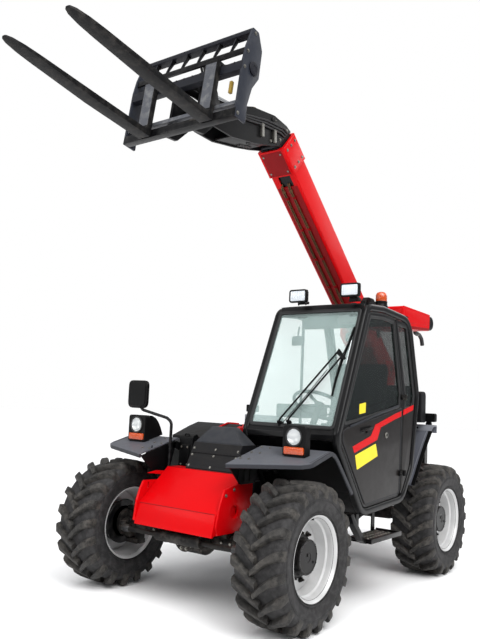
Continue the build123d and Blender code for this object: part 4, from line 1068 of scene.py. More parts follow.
def wing(sx, xi, xo):
    """Moulded sheet with a rolled outer lip, drawn for the left side; flipped for the right."""
    front = [(xi, -178), (xo - 52, -66), (xo - 40, -56), (xo - 14, -40), (xo - 3, -14), (xo, 10)]

    def edge_y(x):
        for (x0, y0), (x1, y1) in zip(front, front[1:]):
            if x <= x1:
                return y0 + (y1 - y0) * (x - x0) / max(1e-6, x1 - x0)
        return 10
    n = 18
    xs = [xi + (xo - xi) * (1 - (1 - j / n) ** 1.5) for j in range(n + 1)]
    bm = bmesh.new()
    rows = []
    for x in xs:
        ye = edge_y(x)
        e = max(0.0, 1 - (xo - x) / 16)
        drop = 9 * (1 - sqrt(max(0.0, 1 - e * e)))
        col = [(x, ye, wing_z(ye) - drop)] + [(x, y, z - drop) for y, z in WTOP if y > ye + 12]
        while len(col) < len(WTOP) + 1:
            a, b = Vector(col[0]), Vector(col[1])
            col.insert(1, tuple((a + b) / 2))
        rows.append(col)
    m = len(rows[0])
    top = [[bm.verts.new(p) for p in r] for r in rows]
    bot = [[bm.verts.new((p[0], p[1] - (6 if k > m - 6 else 0), p[2] - 8)) for k, p in enumerate(r)] for r in rows]
    for i in range(n):
        for k in range(m - 1):
            bm.faces.new((top[i][k], top[i + 1][k], top[i + 1][k + 1], top[i][k + 1]))
            bm.faces.new((bot[i][k], bot[i][k + 1], bot[i + 1][k + 1], bot[i + 1][k]))
        bm.faces.new((top[i][0], bot[i][0], bot[i + 1][0], top[i + 1][0]))
        bm.faces.new((top[i][-1], top[i + 1][-1], bot[i + 1][-1], bot[i][-1]))
    for k in range(m - 1):
        bm.faces.new((top[0][k], top[0][k + 1], bot[0][k + 1], bot[0][k]))
        bm.faces.new((top[-1][k], bot[-1][k], bot[-1][k + 1], top[-1][k + 1]))
    bmesh.ops.recalc_face_normals(bm, faces=bm.faces)
    line = [(xi, -178, wing_z(-178))] + [(x, y, wing_z(y)) for x, y in front[1:]] + [(xo, y, z) for y, z in WTOP if y > 60]
    line = path_round(line, 34, 5)
    lip = sweep(line, [(-0.5, -4), (3, -0.5), (8, 0.4), (13, -1), (15, -5), (14, -22), (11, -27), (5, -28), (0, -25)] , (0, 0, 1))
    bead = sweep([p + Vector((-20, 0, 0.5)) if p.y > -30 else p + Vector((-8, 18, 0.5)) for p in line[8:]], [(-3, -2), (0, 1.6), (3, -2)], (0, 0, 1))
    web = ext([(-160, 935), (-48, 826), (-30, 810), (130, 810), (196, 1024), (150, 1018)], xi + 1, xi + 11, SIDE, 3, 2, fil=[4, 10, 14, 24, 10, 4])
    skirt = ext([(160, 1016), (196, 1026), (250, 1010), (299, 964), (388, 868), (370, 852), (286, 940), (150, 985)], xi + 1, xi + 11, SIDE, 3, 2, fil=6)
    ribs = [ext([(-60 + 60 * k, 826), (-56 + 60 * k, 826), (-40 + 60 * k, 1000), (-48 + 60 * k, 1000)], xi + 10, xi + 17, SIDE, 1.5, 1) for k in range(3)]
    under = [ext([(y0, wing_z(y0) - 10), (y0 + 8, wing_z(y0) - 8), (y0 + 8, wing_z(y0) - 22), (y0, wing_z(y0) - 24)], xi + 10, xo - 16, SIDE, 1.5, 1) for y0 in (0, 90, 180)]
    clips = [bolt((x, y, wing_z(y)), (0, -0.26, 0.966), 13, 6) for x in (xi + 24, xi + 90) for y in (-60, 60, 170) if y > edge_y(x) + 30]
    back = cut(bm.copy(), ext([(-300, 500), (238, 500), (238, 1300), (-300, 1300)], 300, 950, SIDE, 0, 1))
    bm = cut(bm, ext([(238, 500), (700, 500), (700, 1300), (238, 1300)], 300, 950, SIDE, 0, 1))
    g = [bm, lip], [web, skirt, back] + ribs + under, clips, [bead]
    return [[b if sx > 0 else flip(b) for b in q] for q in g]


wl = wing(1, 352, 888)
wr = wing(-1, 398, 858)
piece("front_wing_left", [(wl[0][:1], WING_GREY), (wl[0][1:] + wl[3], WING_LIP), (wl[1], PLASTIC_BLACK), (wl[2], STEEL)], "chassis", "front_fenders", sharp=40)
piece("front_wing_right", [(wr[0][:1], WING_GREY), (wr[0][1:] + wr[3], WING_LIP), (wr[1], PLASTIC_BLACK), (wr[2], STEEL)], "chassis", sharp=40)

# ------------------------------------------------------------------ centre cover
cov_low = ext([(46, 866), (92, 966), (128, 1041), (284, 1041), (284, 704), (152, 704), (152, 866)], -170, 250, SIDE, 7, 3, fil=[4, 16, 6, 2, 2, 2, 2])
cov_top = hull([(-166, 127, 1038), (246, 127, 1038), (-166, 284, 1041), (246, 284, 1041), (-100, 226, 1152), (98, 226, 1152), (-100, 284, 1151), (98, 284, 1151)], 8, 3)
cov_rear = ext([(285, 704), (398, 704), (398, 1020), (328, 1123), (285, 1138)], -168, 103, SIDE, 8, 3)
fold = ext([(-150, 970), (232, 970), (226, 976), (-144, 976)], 88, 96, FRONT, 1.5, 2)
hatch = ext([(-132, 890), (212, 890), (212, 950), (-132, 950)], 0, 1.8, lambda u, v, d: (u, 46 + (v - 864) * 0.4510 - d * 0.91, v + d * 0.41), 1, 2, fil=14)
face_trim = hull([(-158, 131, 1046), (238, 131, 1046), (-98, 222, 1148), (96, 222, 1148), (-158, 134, 1043), (238, 134, 1043), (-98, 226, 1146), (96, 226, 1146)], 1.5, 2)
cbolts = [bolt((x, 52 + (z - 878) * 0.45, z), (0, -0.91, 0.41), 11, 5) for x in (-150, 40, 230) for z in (884, 956)] + [bolt((x, 108, 1000), (0, -0.9, 0.43), 11, 5) for x in (-150, 40, 230)]
baselip = ext([(40, 855), (60, 855), (60, 868), (52, 868), (46, 862)], -172, 252, SIDE, 1.5, 2)
piece("centre_cover_shell", [([cov_low, cov_rear, fold, hatch, baselip], PLASTIC), ([cov_top, face_trim], COVER_GREY), (cbolts, STEEL)], "chassis", "centre_cover", sharp=36)
hump = ext([(206, 808), (284, 808), (284, 1068), (262, 1088), (216, 1064)], -388, -264, SIDE, 12, 4, fil=[8, 8, 16, 24, 20])
hump2 = ext([(200, 850), (216, 850), (216, 1010), (206, 1004)], -366, -286, SIDE, 5, 3, fil=5)
hgrip = tube([(-345, 226, 1066), (-345, 226, 1082), (-305, 226, 1082), (-305, 226, 1066)], 5, 8, 8)
filler = [fbox(251, 350, 288, 297, 872, 1040, 3), fbox(262, 340, 285, 289, 890, 1020, 2)]
piece("front_filler", [(filler, PLASTIC_BLACK)], "chassis", sharp=36)
piece("side_hump", [([hump, hump2, hgrip], PLASTIC_BLACK), ([bolt((x, 200, z), (0, -1, 0), 11, 5) for x in (-354, -298) for z in (866, 990)], STEEL)], "chassis", sharp=36)

# ------------------------------------------------------------------ nose
nx = 331
nose_line = [(-258, 509), (-225, 636), (40, 862), (150, 862)]
front_plate = belt([(-258, 509), (-225, 636), (36, 860), (150, 861)], -nx + 3, nx - 3, -14, 4)
top_edge = ext([(30, 846), (150, 846), (150, 861), (38, 861)], -nx, nx, SIDE, 3, 2)


def nose_side(x0, x1):
    a = ext([(-257, 510), (-224, 635), (40, 861), (150, 861), (150, 510)], x0, x1, SIDE, 0, 1)
    holes = [cyl((min(x0, x1) - 20, y, z), (max(x0, x1) + 20, y, z), r, 0.5, 36) for y, z, r in ((-120, 600, 34), (20, 640, 46), (60, 770, 26))]
    return bevel_bm(cut(a, *holes), 3, 2, 40)


ear_r = ext([(-153, 822), (-109, 819), (-19, 807), (18, 785), (-16, 773), (-183, 777), (-216, 719), (-240, 651), (-256, 519), (-214, 512), (-60, 512), (60, 560), (110, 700), (60, 826), (-60, 836)], -349, -331, SIDE, 3, 2, fil=[8, 6, 10, 10, 6, 20, 14, 10, 6, 20, 30, 50, 50, 30, 20])
ear_r = cut(ear_r, ext([(-150, 764), (-138, 764), (-138, 724), (-150, 724)], -360, -320, SIDE, 0, 1, fil=5), cyl((-360, -60, 640), (-320, -60, 640), 42, 0.5, 36))
ear_l = ext([(-162, 785), (-70, 804), (-6, 808), (90, 806), (120, 700), (60, 560), (-60, 512), (-218, 512), (-236, 560), (-205, 690)], 331, 347, SIDE, 3, 2, fil=[14, 16, 16, 40, 60, 60, 30, 8, 14, 20])
ear_l = cut(ear_l, cyl((320, -60, 640), (360, -60, 640), 42, 0.5, 36))
nbolts = [bolt((347, y, z), (1, 0, 0), 15, 6) for y, z in ((-150, 748), (-70, 780), (84, 640))] + [bolt((-349, y, z), (-1, 0, 0), 15, 6) for y, z in ((-75, 760), (-175, 683))]
under_cap = [ext([(-219, 411), (-193, 446), (-72, 434), (-100, 376)], -160, -136, FRONT, 4, 2, fil=[16, 10, 10, 20]), ext([(232, 384), (275, 456), (322, 420), (290, 372)], -160, -136, FRONT, 4, 2, fil=[20, 10, 16, 16]), cyl((-150, -166, 430), (-150, -150, 430), 20, 3, 24), cyl((276, -166, 424), (276, -150, 424), 20, 3, 24)]
seam = [sweep([(x, -215, 648), (x, 20, 846)], [(-1.5, -1.5), (1.5, -1.5), (1.5, 1.5), (-1.5, 1.5)], (1, 0, 0)) for x in (-296, 296)]
lowlip = ext([(-259, 500), (-240, 500), (-236, 514), (-256, 514)], -nx, nx, SIDE, 3, 2)
towbar = [cyl((-250, -232, 540), (-250, -262, 540), 22, 3, 24)]
fbolts = [bolt((x, -216 + (z - 644) * 1.172 - 4, z), (0, -0.649, 0.761), 18, 8) for x in (-260, 260) for z in (680, 800)]
tie = [ext([(-60, 560), (60, 560), (60, 600), (-60, 600)], 0, 12, lambda u, v, d: (u, -258 + (v - 509) * 0.26 - d, v), 3, 2, fil=10)]
eye = [tube([(-34, -248, 566), (-34, -296, 560), (34, -296, 560), (34, -248, 566)], 9, 26, 12)]
under_n = [tube([(120, -190, 520), (150, -120, 500), (230, 60, 505), (260, 180, 540)], 11, 50, 10), tube([(-60, -190, 526), (-40, -90, 498), (60, 60, 494), (120, 200, 530)], 9, 50, 10), cyl((180, -150, 506), (240, -150, 506), 26, 4, 24)]
# thin dark red lines along the nose's fold and top edge: painted shade in the creases
fold_shade_lines = [tube([(-nx + 8, -225.5, 637), (nx - 8, -225.5, 637)], 1.8, 4, 8), tube([(-nx + 8, 37, 861.5), (nx - 8, 37, 861.5)], 1.6, 4, 8)]
piece("nose_shell", [(fold_shade_lines, RED_PAINTED_SHADE), ([front_plate, top_edge, nose_side(nx - 14, nx), nose_side(-nx, -nx + 14), ear_r, ear_l, lowlip], RED), (nbolts, STEEL), (under_n, BLACK_OLD)], "chassis", "front_nose", sharp=24)

# ------------------------------------------------------------------ boom, seen along its own axes (s along, n up, w to the right)
B_N0, B_N1, B_HW = -66.0, 156.0, 112.0
HEAD_BLACK = finish("head_black", srgb(11, 11, 12), 0.40, coat=0.03, spec=0.14, vary=0.12, peel=0.08, top_dust_and_sheen=0.04, dust_and_sheen_col=DUST, wear=0.3, wear_col=srgb(66, 62, 58), low_dirt=0.05)
BRASS_DULL = finish("pipe_brown", srgb(96, 70, 44), 0.44, metallic=0.45, spec=0.3, vary=0.2, top_dust_and_sheen=0.06, dust_and_sheen_col=DUST)
B_S1 = 2545.0


def bplane(u, v, d):
    return BOOM(u, v, d)


def sec_box(s0, s1, n0, n1, hw, r, t=0, n=6, bevel=2):
    """Rounded square tube with an open end wall thickness t; solid when t is 0."""
    pts = rounded([(-hw, n0), (hw, n0), (hw, n1), (-hw, n1)], r, n)
    if not t:
        bm = ext(pts, s0, s1, lambda w, nn, s: BOOM(s, nn, w), bevel, 2)
        return bm
    inn = rounded([(-hw + t, n0 + t), (hw - t, n0 + t), (hw - t, n1 - t), (-hw + t, n1 - t)], max(1, r - t), n)
    bm = bmesh.new()
    rings = []
    for P, s in ((pts, s0), (pts, s1), (inn, s1), (inn, s0)):
        rings.append([bm.verts.new(BOOM(s, nn, w)) for w, nn in P])
    m = len(pts)
    for a in range(4):
        p, q = rings[a], rings[(a + 1) % 4]
        for k in range(m):
            bm.faces.new((p[k], p[(k + 1) % m], q[(k + 1) % m], q[k]))
    bmesh.ops.recalc_face_normals(bm, faces=bm.faces)
    edges = [e for e in bm.edges if e.calc_face_angle(0) > radians(60)]
    bmesh.ops.bevel(bm, geom=edges, offset=bevel, segments=2, profile=0.6, affect="EDGES", clamp_overlap=True)
    return bm


tube_o = sec_box(-148, B_S1, B_N0, B_N1, B_HW, 22, 8)
tube_o = cut(tube_o, ext([(2197, B_N0 - 40), (2298, B_N0 - 40), (2298, B_N0 + 20), (2197, B_N0 + 20)], -68, 48, bplane, 0, 1, fil=14))
collar = sec_box(B_S1 - 233, B_S1, B_N0 - 13, B_N1 + 13, B_HW + 13, 26, 15, bevel=4)
band = [sec_box(s, s + 12, B_N0 - 14, B_N1 + 14, B_HW + 14, 27, 8, bevel=2) for s in (B_S1 - 235, B_S1 - 13)]
lugp = [(370, B_N0 + 3), (490, -188), (630, -188), (750, B_N0 + 3)]
lugs = [ext(lugp, a, b, bplane, 4, 2, fil=[4, 40, 40, 4]) for a, b in ((65, 83), (-83, -65))]
bosses = [cyl(BOOM(560, -130, a), BOOM(560, -130, b), 40, 3, 36) for a, b in ((83, 96), (-96, -83))]
pinb = [cyl(BOOM(560, -130, a), BOOM(560, -130, b), 22, 3, 28) for a, b in ((90, 102), (-102, -90))]
pboss = [lathe([(0, 33), (0, 50), (8, 50), (10, 47), (10, 33)], BOOM(0, 0, sgn * B_HW), Vector(BOOM(0, 0, sgn)) - Vector(BOOM(0, 0, 0)), 40) for sgn in (1, -1)]
straps = [ext([(60, -52), (2290, -52), (2290, -48), (60, -48)], sgn * (B_HW - 0.5), sgn * (B_HW + 2.5), bplane, 0.8, 1) for sgn in (-1, 1)]
cap = sec_box(-152, -146, B_N0 + 2, B_N1 - 2, B_HW - 2, 20)
cb = []
for w in (B_HW + 13, -B_HW - 13):
    nn = Vector(BOOM(0, 0, 1)) - Vector(BOOM(0, 0, 0))
    nn = nn if w > 0 else -nn
    cb += [bolt(BOOM(s, n, w), nn, 17, 7) for s in (B_S1 - 200, B_S1 - 45) for n in (-30, 45, 120)]
dn = -(Vector(BOOM(0, 1, 0)) - Vector(BOOM(0, 0, 0)))
cb += [bolt(BOOM(s, B_N0 - 13, w), dn, 15, 6) for s in (B_S1 - 200, B_S1 - 45) for w in (-80, 80)]
pads = [ext([(B_S1 - 3, n0), (B_S1 + 9, n0), (B_S1 + 9, n1), (B_S1 - 3, n1)], a, b, bplane, 2, 2) for n0, n1, a, b in ((B_N0 - 2, -53, -80, -20), (B_N0 - 2, -53, 20, 80), (143, 157, -80, -20), (143, 157, 20, 80))]
weld = [sweep([BOOM(370 + (750 - 370) * t / 6, B_N0 - 1, w) for t in range(7)], [(-4, -3), (4, -3), (0, 4)], dn) for w in (62, 86, -62, -86)]
pipes, clamps_ = [], []
for w in (40, 54, -14, -28):
    pipes.append(tube([BOOM(2228, B_N0 + 10, w), BOOM(2190, B_N0 - 9, w), BOOM(2120, B_N0 - 9, w), BOOM(900, B_N0 - 9, w), BOOM(860, B_N0 + 4, w)], 5, 30, 10))
    pipes.append(cyl(BOOM(2175, B_N0 - 9, w), BOOM(2150, B_N0 - 9, w), 8.5, 2, 6))
# pipe clamps under the tube, coloured with the darker red copy: painted shade
for s in (2080, 1760, 1440, 1120):
    for w in (47, -21):
        clamps_.append(ext([(s, B_N0 - 16), (s + 26, B_N0 - 16), (s + 26, B_N0 + 1), (s, B_N0 + 1)], w - 17, w + 17, bplane, 3, 2, fil=4))
        clamps_.append(bolt(BOOM(s + 13, B_N0 - 16, w), dn, 9, 4))
# thin dark red sheets on the underside of the tube and the collar: painted shade
tube_underside_shade = ext([(70, B_N0 - 1.6), (2196, B_N0 - 1.6), (2196, B_N0 + 0.4), (70, B_N0 + 0.4)], -94, 94, bplane, 0.5, 1)
collar_underside_shade = ext([(2316, B_N0 - 14.6), (2528, B_N0 - 14.6), (2528, B_N0 - 12.6), (2316, B_N0 - 12.6)], -98, 98, bplane, 0.5, 1)
piece("boom_tube", [([tube_underside_shade, collar_underside_shade], RED_PAINTED_SHADE), ([tube_o, collar] + band + lugs + bosses + pboss + straps + [cap] + weld, RED), (cb + pinb, STEEL), (pads, PLASTIC_BLACK), (pipes, BRASS_DULL), (clamps_, RED_PAINTED_SHADE)], "boom", "boom_outer", sharp=34)

# inner tube
inner = sec_box(322, 2560, -52, 142, 98, 14, 8)
ihoses = [tube([BOOM(2180, -46, w), BOOM(2245, -60, w), BOOM(2320, -40, w)], 7, 30, 8) for w in (-40, -10, 20)]
piece("inner_tube", [([inner], BLACK), ([sec_box(330, 350, -51, 141, 97, 12)], PLASTIC_BLACK)], "telescope", "boom_inner", sharp=34)

# ------------------------------------------------------------------ boom head
ck = [(2560, -66), (2560, 156), (2625, 138), (2771, 44), (2966, -170), (3060, -330), (3190, -520), (3232, -610), (3215, -680), (3150, -708), (3080, -668), (2930, -548), (2760, -345), (2640, -185)]
ckr = [10, 20, 40, 80, 90, 60, 60, 50, 46, 50, 50, 80, 80, 60]
cheeks = [ext(ck, a, b, bplane, 4, 3, fil=ckr, fn=6) for a, b in ((81, 100), (-100, -81))]
crown = ext([(2574, 141), (2622, 123), (2700, 84), (2708, 96), (2625, 136), (2574, 154)], -81, 81, bplane, 3, 2)
belly = ext([(2660, -204), (2770, -340), (2930, -532), (2940, -524), (2780, -332), (2670, -198)], -81, 81, bplane, 2.5, 2)
flange = cut(sec_box(2560, 2576, -66, 156, 100, 6), ext([(2540, -36), (2600, -36), (2600, 126), (2540, 126)], -80, 80, bplane, 0, 1, fil=6))
cross1 = cyl(BOOM(2966, -260, -82), BOOM(2966, -260, 82), 26, 1, 28)
hb_ = []
for a in (1, -1):
    side = Vector(BOOM(0, 0, a)) - Vector(BOOM(0, 0, 0))
    hb_.append(lathe([(0, 27), (0, 54), (30, 54), (34, 50), (34, 27)], BOOM(3160, -620, a * 70), side, 44))
    hb_.append(lathe([(0, 0), (0, 34), (56, 34), (62, 29), (62, 0)], BOOM(2745, 5, a * 50), side, 40, closed=False))
pins = [cyl(BOOM(3160, -620, -108), BOOM(3160, -620, 108), 25, 3, 36)]
pins += [lathe([(0, 0), (0, 33), (5, 33), (7, 30), (7, 0)], BOOM(3160, -620, a * 104), Vector(BOOM(0, 0, a)) - Vector(BOOM(0, 0, 0)), 36, closed=False) for a in (1, -1)]
grease = [cyl(BOOM(3160, -620, -111), BOOM(3160, -620, -118), 5, 1, 12), cyl(BOOM(2745, 5, -112), BOOM(2745, 5, -118), 5, 1, 12)]
keep = [ext([(3100, -560), (3150, -548), (3150, -536), (3100, -548)], -108, -100, bplane, 2, 2, fil=4)]
lw = Vector(BOOM(0, 0, -1)) - Vector(BOOM(0, 0, 0))
hbolt = [bolt(BOOM(s, n, -100), lw, 17, 8) for s, n in ((2600, 110), (2600, -30), (2660, -150), (3108, -556), (3142, -546))] + [bolt(BOOM(s, n, 100), -lw, 17, 8) for s, n in ((2600, 110), (2600, -30), (2660, -150))]
mark = ext([(2611, -44), (2708, -53), (2708, -36), (2611, -27)], -100.6, -99.5, bplane, 0.2, 1, fil=4)
couple = [lathe([(0, 9), (0, 20), (20, 20), (24, 16), (24, 9)], BOOM(3050, -182, -60 + 30 * k), lw, 24) for k in range(2)]
hoses_h = [tube([BOOM(2590, 60 - 24 * k, -60 + 30 * k), BOOM(2700, 20 - 24 * k, -60 + 30 * k), BOOM(2830, -60 - 20 * k, -62 + 28 * k), BOOM(2920, -150 - 24 * k, -66 + 28 * k), BOOM(2990, -250 - 26 * k, -60 + 28 * k)], 9, 60, 10) for k in range(3)]
fit = [cyl(BOOM(2920, -110 - 24 * k, -66 + 28 * k), BOOM(2944, -140 - 24 * k, -66 + 28 * k), 13, 2, 6) for k in range(3)]
belly_h = [tube([BOOM(2600, -50, w), BOOM(2650, -150, w), BOOM(2700, -250, w), BOOM(2780, -350, w)], 9, 60, 10) for w in (-62, -38, 30, 56)]
side_h = [tube([BOOM(2584, 96 - 30 * k, -103), BOOM(2640, 70 - 34 * k, -110), BOOM(2800, -90 - 34 * k, -112), BOOM(2920, -240 - 30 * k, -110), BOOM(2990, -330 - 20 * k, -102)], 8, 70, 10) for k in range(3)]
side_c = [ext([(2690 + 120 * k, -44 - 112 * k), (2712 + 120 * k, -66 - 112 * k), (2640 + 120 * k, -140 - 112 * k), (2618 + 120 * k, -118 - 112 * k)], -120, -100, bplane, 3, 2, fil=5) for k in range(2)]
nubs = [cyl(BOOM(2600 + 26 * k, 150 - 9 * k, -52 + 22 * k), BOOM(2606 + 26 * k, 186 - 9 * k, -52 + 22 * k), 10, 2, 6) for k in range(4)]
block = ext([(2680, -180), (2760, -210), (2800, -290), (2730, -300)], -60, 60, bplane, 5, 2, fil=8)
piece("head_plates", [(cheeks + hb_ + keep + [belly, cross1, block], HEAD_BLACK), ([crown, flange], BLUE_DARK), (pins + hbolt + grease, STEEL), ([mark], BLACK_OLD), (hoses_h + belly_h + side_h, HOSE), (side_c, STEEL), (nubs, BLACK_OLD), (fit + couple, BRASS)], "telescope", "boom_head", sharp=34)

# ------------------------------------------------------------------ carriage
PYZ = Vector(BOOM(3160, -620, 0))
def carr_fu(p):
    dy, dz = p[1] - HEEL[0], p[2] - HEEL[1]
    return (-fc * dy + fs * dz, fs * dy + fc * dz)
PF, PU = carr_fu(PYZ)
EP = BOOM(3160 + 180 * cos(radians(63)), -620 + 180 * sin(radians(63)), 0)
EF, EU = carr_fu(EP)
W_L, W_R = BOOM_X - 450.0, BOOM_X + 550.0     # left face (negative) and right face


def cplane(u, v, d):
    return CARR(u, v, d)


def cbar(f0, f1, u0, u1, r=4, w0=None, w1=None):
    return ext([(f0, u0), (f1, u0), (f1, u1), (f0, u1)], W_L + 1 if w0 is None else w0, W_R - 1 if w1 is None else w1, cplane, r, 2)


bars = [cbar(-60, -6, 1, 60, 5), cbar(-60, -6, 330, 396, 5), cbar(-44, -26, 467, 506, 3), cbar(-124, -60, 637, 667, 5)]
notch = []
for i in range(13):
    w = W_L + 70 + i * (W_R - W_L - 140) / 12
    notch.append(ext([(-8, 384), (-3.5, 384), (-3.5, 396), (-8, 396)], w - 5, w + 5, cplane, 1, 1))
SIDE_BLUE = finish("carriage_side", srgb(38, 41, 49), 0.42, coat=0.05, spec=0.22, vary=0.08, peel=0.08, top_dust_and_sheen=0.08, dust_and_sheen_col=srgb(96, 96, 98), wear=0.3, wear_col=srgb(78, 78, 80))
OCHRE = finish("ochre_paint", srgb(150, 122, 44), 0.5, vary=0.12)
sidep = [(-7, 1), (-7, 400), (-20, 510), (-60, 667), (-124, 667), (-184, 560), (-189, 360), (-136, 262), (-112, 130), (-118, 1)]
sides = [ext(sidep, a, b, cplane, 4, 2, fil=[6, 20, 30, 10, 14, 50, 30, 40, 40, 8]) for a, b in ((W_L, W_L + 16), (W_R - 16, W_R))]
slats, slat_e = [], []
for i in range(1, 7):
    w = W_L + (W_R - W_L) * i / 7
    slats.append(ext([(-31, 470), (-44, 470), (-44, 506), (-106, 640), (-71, 640), (-31, 506)], w - 5, w + 5, cplane, 1.5, 2))
    slat_e.append(ext([(-31.5, 470), (-28.5, 470), (-28.5, 506), (-68, 640), (-71, 640), (-31.5, 508)], w - 4, w + 4, cplane, 1, 1))
ears = [ext([(-58, 3), (-58, 389), (-120, 419), (PF - 50, PU + 44), (PF - 57, PU), (PF - 40, PU - 44), (-150, 21)], a, b, cplane, 4, 2, fil=[4, 10, 30, 34, 30, 34, 30]) for a, b in ((111, 133), (-133, -111))]
pivot = [cyl(CARR(PF, PU, -133), CARR(PF, PU, 133), 25.5, 2, 36)] + [lathe([(0, 0), (0, 38), (6, 38), (9, 34), (9, 0)], CARR(PF, PU, sg * 133), Vector(CARR(0, 0, sg)) - Vector(CARR(0, 0, 0)), 40, closed=False) for sg in (1, -1)]
tlug = [ext([(-58, 333), (-58, 393), (-120, 429), (EF - 10, EU + 61), (EF - 61, EU), (EF - 10, EU - 61), (-120, 346)], a, b, cplane, 3, 2, fil=[3, 6, 20, 40, 40, 40, 20]) for a, b in ((33, 49), (-49, -33))]
tpin = [cyl(CARR(EF, EU, -58), CARR(EF, EU, 58), 20, 3, 32)]
cl = Vector(CARR(0, 0, -1)) - Vector(CARR(0, 0, 0))
pboss2 = [lathe([(0, 0), (0, 44), (4, 46), (10, 46), (14, 40), (14, 22), (11, 20), (11, 0)], CARR(-118, 392, W_L), cl, 44, closed=False)]
lk = {}
for side_, x in (("left", 225.0), ("right", -325.0)):
    w = BOOM_X - x
    lk[side_] = [ext([(-58, 396), (-10, 396), (-10, 408), (-58, 408)], w - 30, w + 30, cplane, 3, 2), cyl(CARR(-34, 400, w), CARR(-34, 432, w), 9, 2, 18), lathe([(0, 0), (0, 15), (4, 16), (14, 14), (16, 0)], CARR(-34, 428, w), Vector(CARR(0, 1, 0)) - Vector(CARR(0, 0, 0)), 20, closed=False)]
cbt = [bolt(CARR(f, u, W_L), cl, 17, 7) for f, u in ((-30, 30), (-30, 360), (-90, 640), (-40, 480))] + [bolt(CARR(f, u, W_R), -cl, 17, 7) for f, u in ((-30, 30), (-30, 360), (-90, 640), (-40, 480))]
chose = [tube([CARR(-64, 520, w), CARR(-100, 470, w), CARR(-130, 430, w * 0.6), CARR(PF + 30, PU + 90, w * 0.3)], 9, 60, 10) for w in (-96, -72)]
yel = [ext([(-6.5, 6), (-3.5, 6), (-3.5, 54), (-6.5, 54)], W_L + 24, W_L + 96, cplane, 1, 1), ext([(-5.5, 40), (-2.5, 40), (-2.5, 56), (-5.5, 56)], -200, -120, cplane, 1, 1)]
low_bar = [cbar(-52, -18, 92, 120, 4)]
ochre = [ext([(-58, 200), (-34, 200), (-34, 286), (-58, 286)], W_L + 92, W_L + 112, cplane, 3, 2, fil=5)] + [ext([(-9, 400), (-4, 400), (-4, 428), (-9, 428)], W_L + 60 + 150 * k, W_L + 84 + 150 * k, cplane, 1, 1) for k in range(6)]
piece("carriage", [([bars[1], bars[3]], BLUE_DARK), (sides, SIDE_BLUE), (low_bar, SHANK), (ochre[:1], OCHRE), (ears + slats + [bars[0], bars[2]] + tlug, BLACK), (slat_e + pboss2, BLUE_DARK), (pivot + tpin + cbt, STEEL), (notch + yel, BLACK_OLD), (chose, HOSE)], "carriage", "carriage_frame", sharp=34)

# forks
for nm, x in (("fork_left", 225.0), ("fork_right", -325.0)):
    w = BOOM_X - x
    out = [(6, 0), (500, 0), (1152, 28), (1159, 33), (1159, 38), (1152, 40), (56, 40), (40, 56), (40, 423), (-52, 423), (-52, 405), (0, 404), (0, 8)]
    bm = ext(out, w - 50, w + 50, cplane, 0, 1, fil=[8, 0, 6, 3, 3, 3, 14, 14, 3, 3, 2, 2, 6])
    # plan taper of the point
    org, fx, ux, wx = Vector(CARR(0, 0, 0)), Vector(CARR(1, 0, 0)) - Vector(CARR(0, 0, 0)), Vector(CARR(0, 1, 0)) - Vector(CARR(0, 0, 0)), Vector(CARR(0, 0, 1)) - Vector(CARR(0, 0, 0))
    cutters = []
    for sg in (1, -1):
        pts = [(900, 51), (1040, 46), (1120, 34), (1152, 18), (1162, 4), (1180, 4), (1180, 70), (900, 70)]
        cutters.append(ext([(f, w + sg * q) for f, q in pts], -20, 60, lambda u, v, d: CARR(u, d, v), 0, 1))
    bm = cut(bm, *cutters)
    bm = bevel_bm(bm, 2.5, 2, 35)
    hook = ext([(-52, 404), (-64, 404), (-64, 380), (-60, 378), (-60, 398), (-52, 402)], w - 50, w + 50, cplane, 1, 1)
    hook2 = ext([(0, 60), (-4, 60), (-4, 62), (0, 64)], w - 40, w + 40, cplane, 0.4, 1)
    heel = [sweep([CARR(2, 40 + 8, w - 49.6), CARR(40, 46, w - 49.6)], [(-1, -1), (1, -1), (1, 1), (-1, 1)], wx)]
    plate = ext([(39.5, 70), (41.2, 70), (41.2, 400), (39.5, 400)], w - 44, w + 44, cplane, 0.6, 1)
    piece(nm + "_blade", [([bm], BLACK_OLD), ([plate] + lk[nm[5:]], SHANK)], nm[5:] + "_fork", nm, sharp=30)

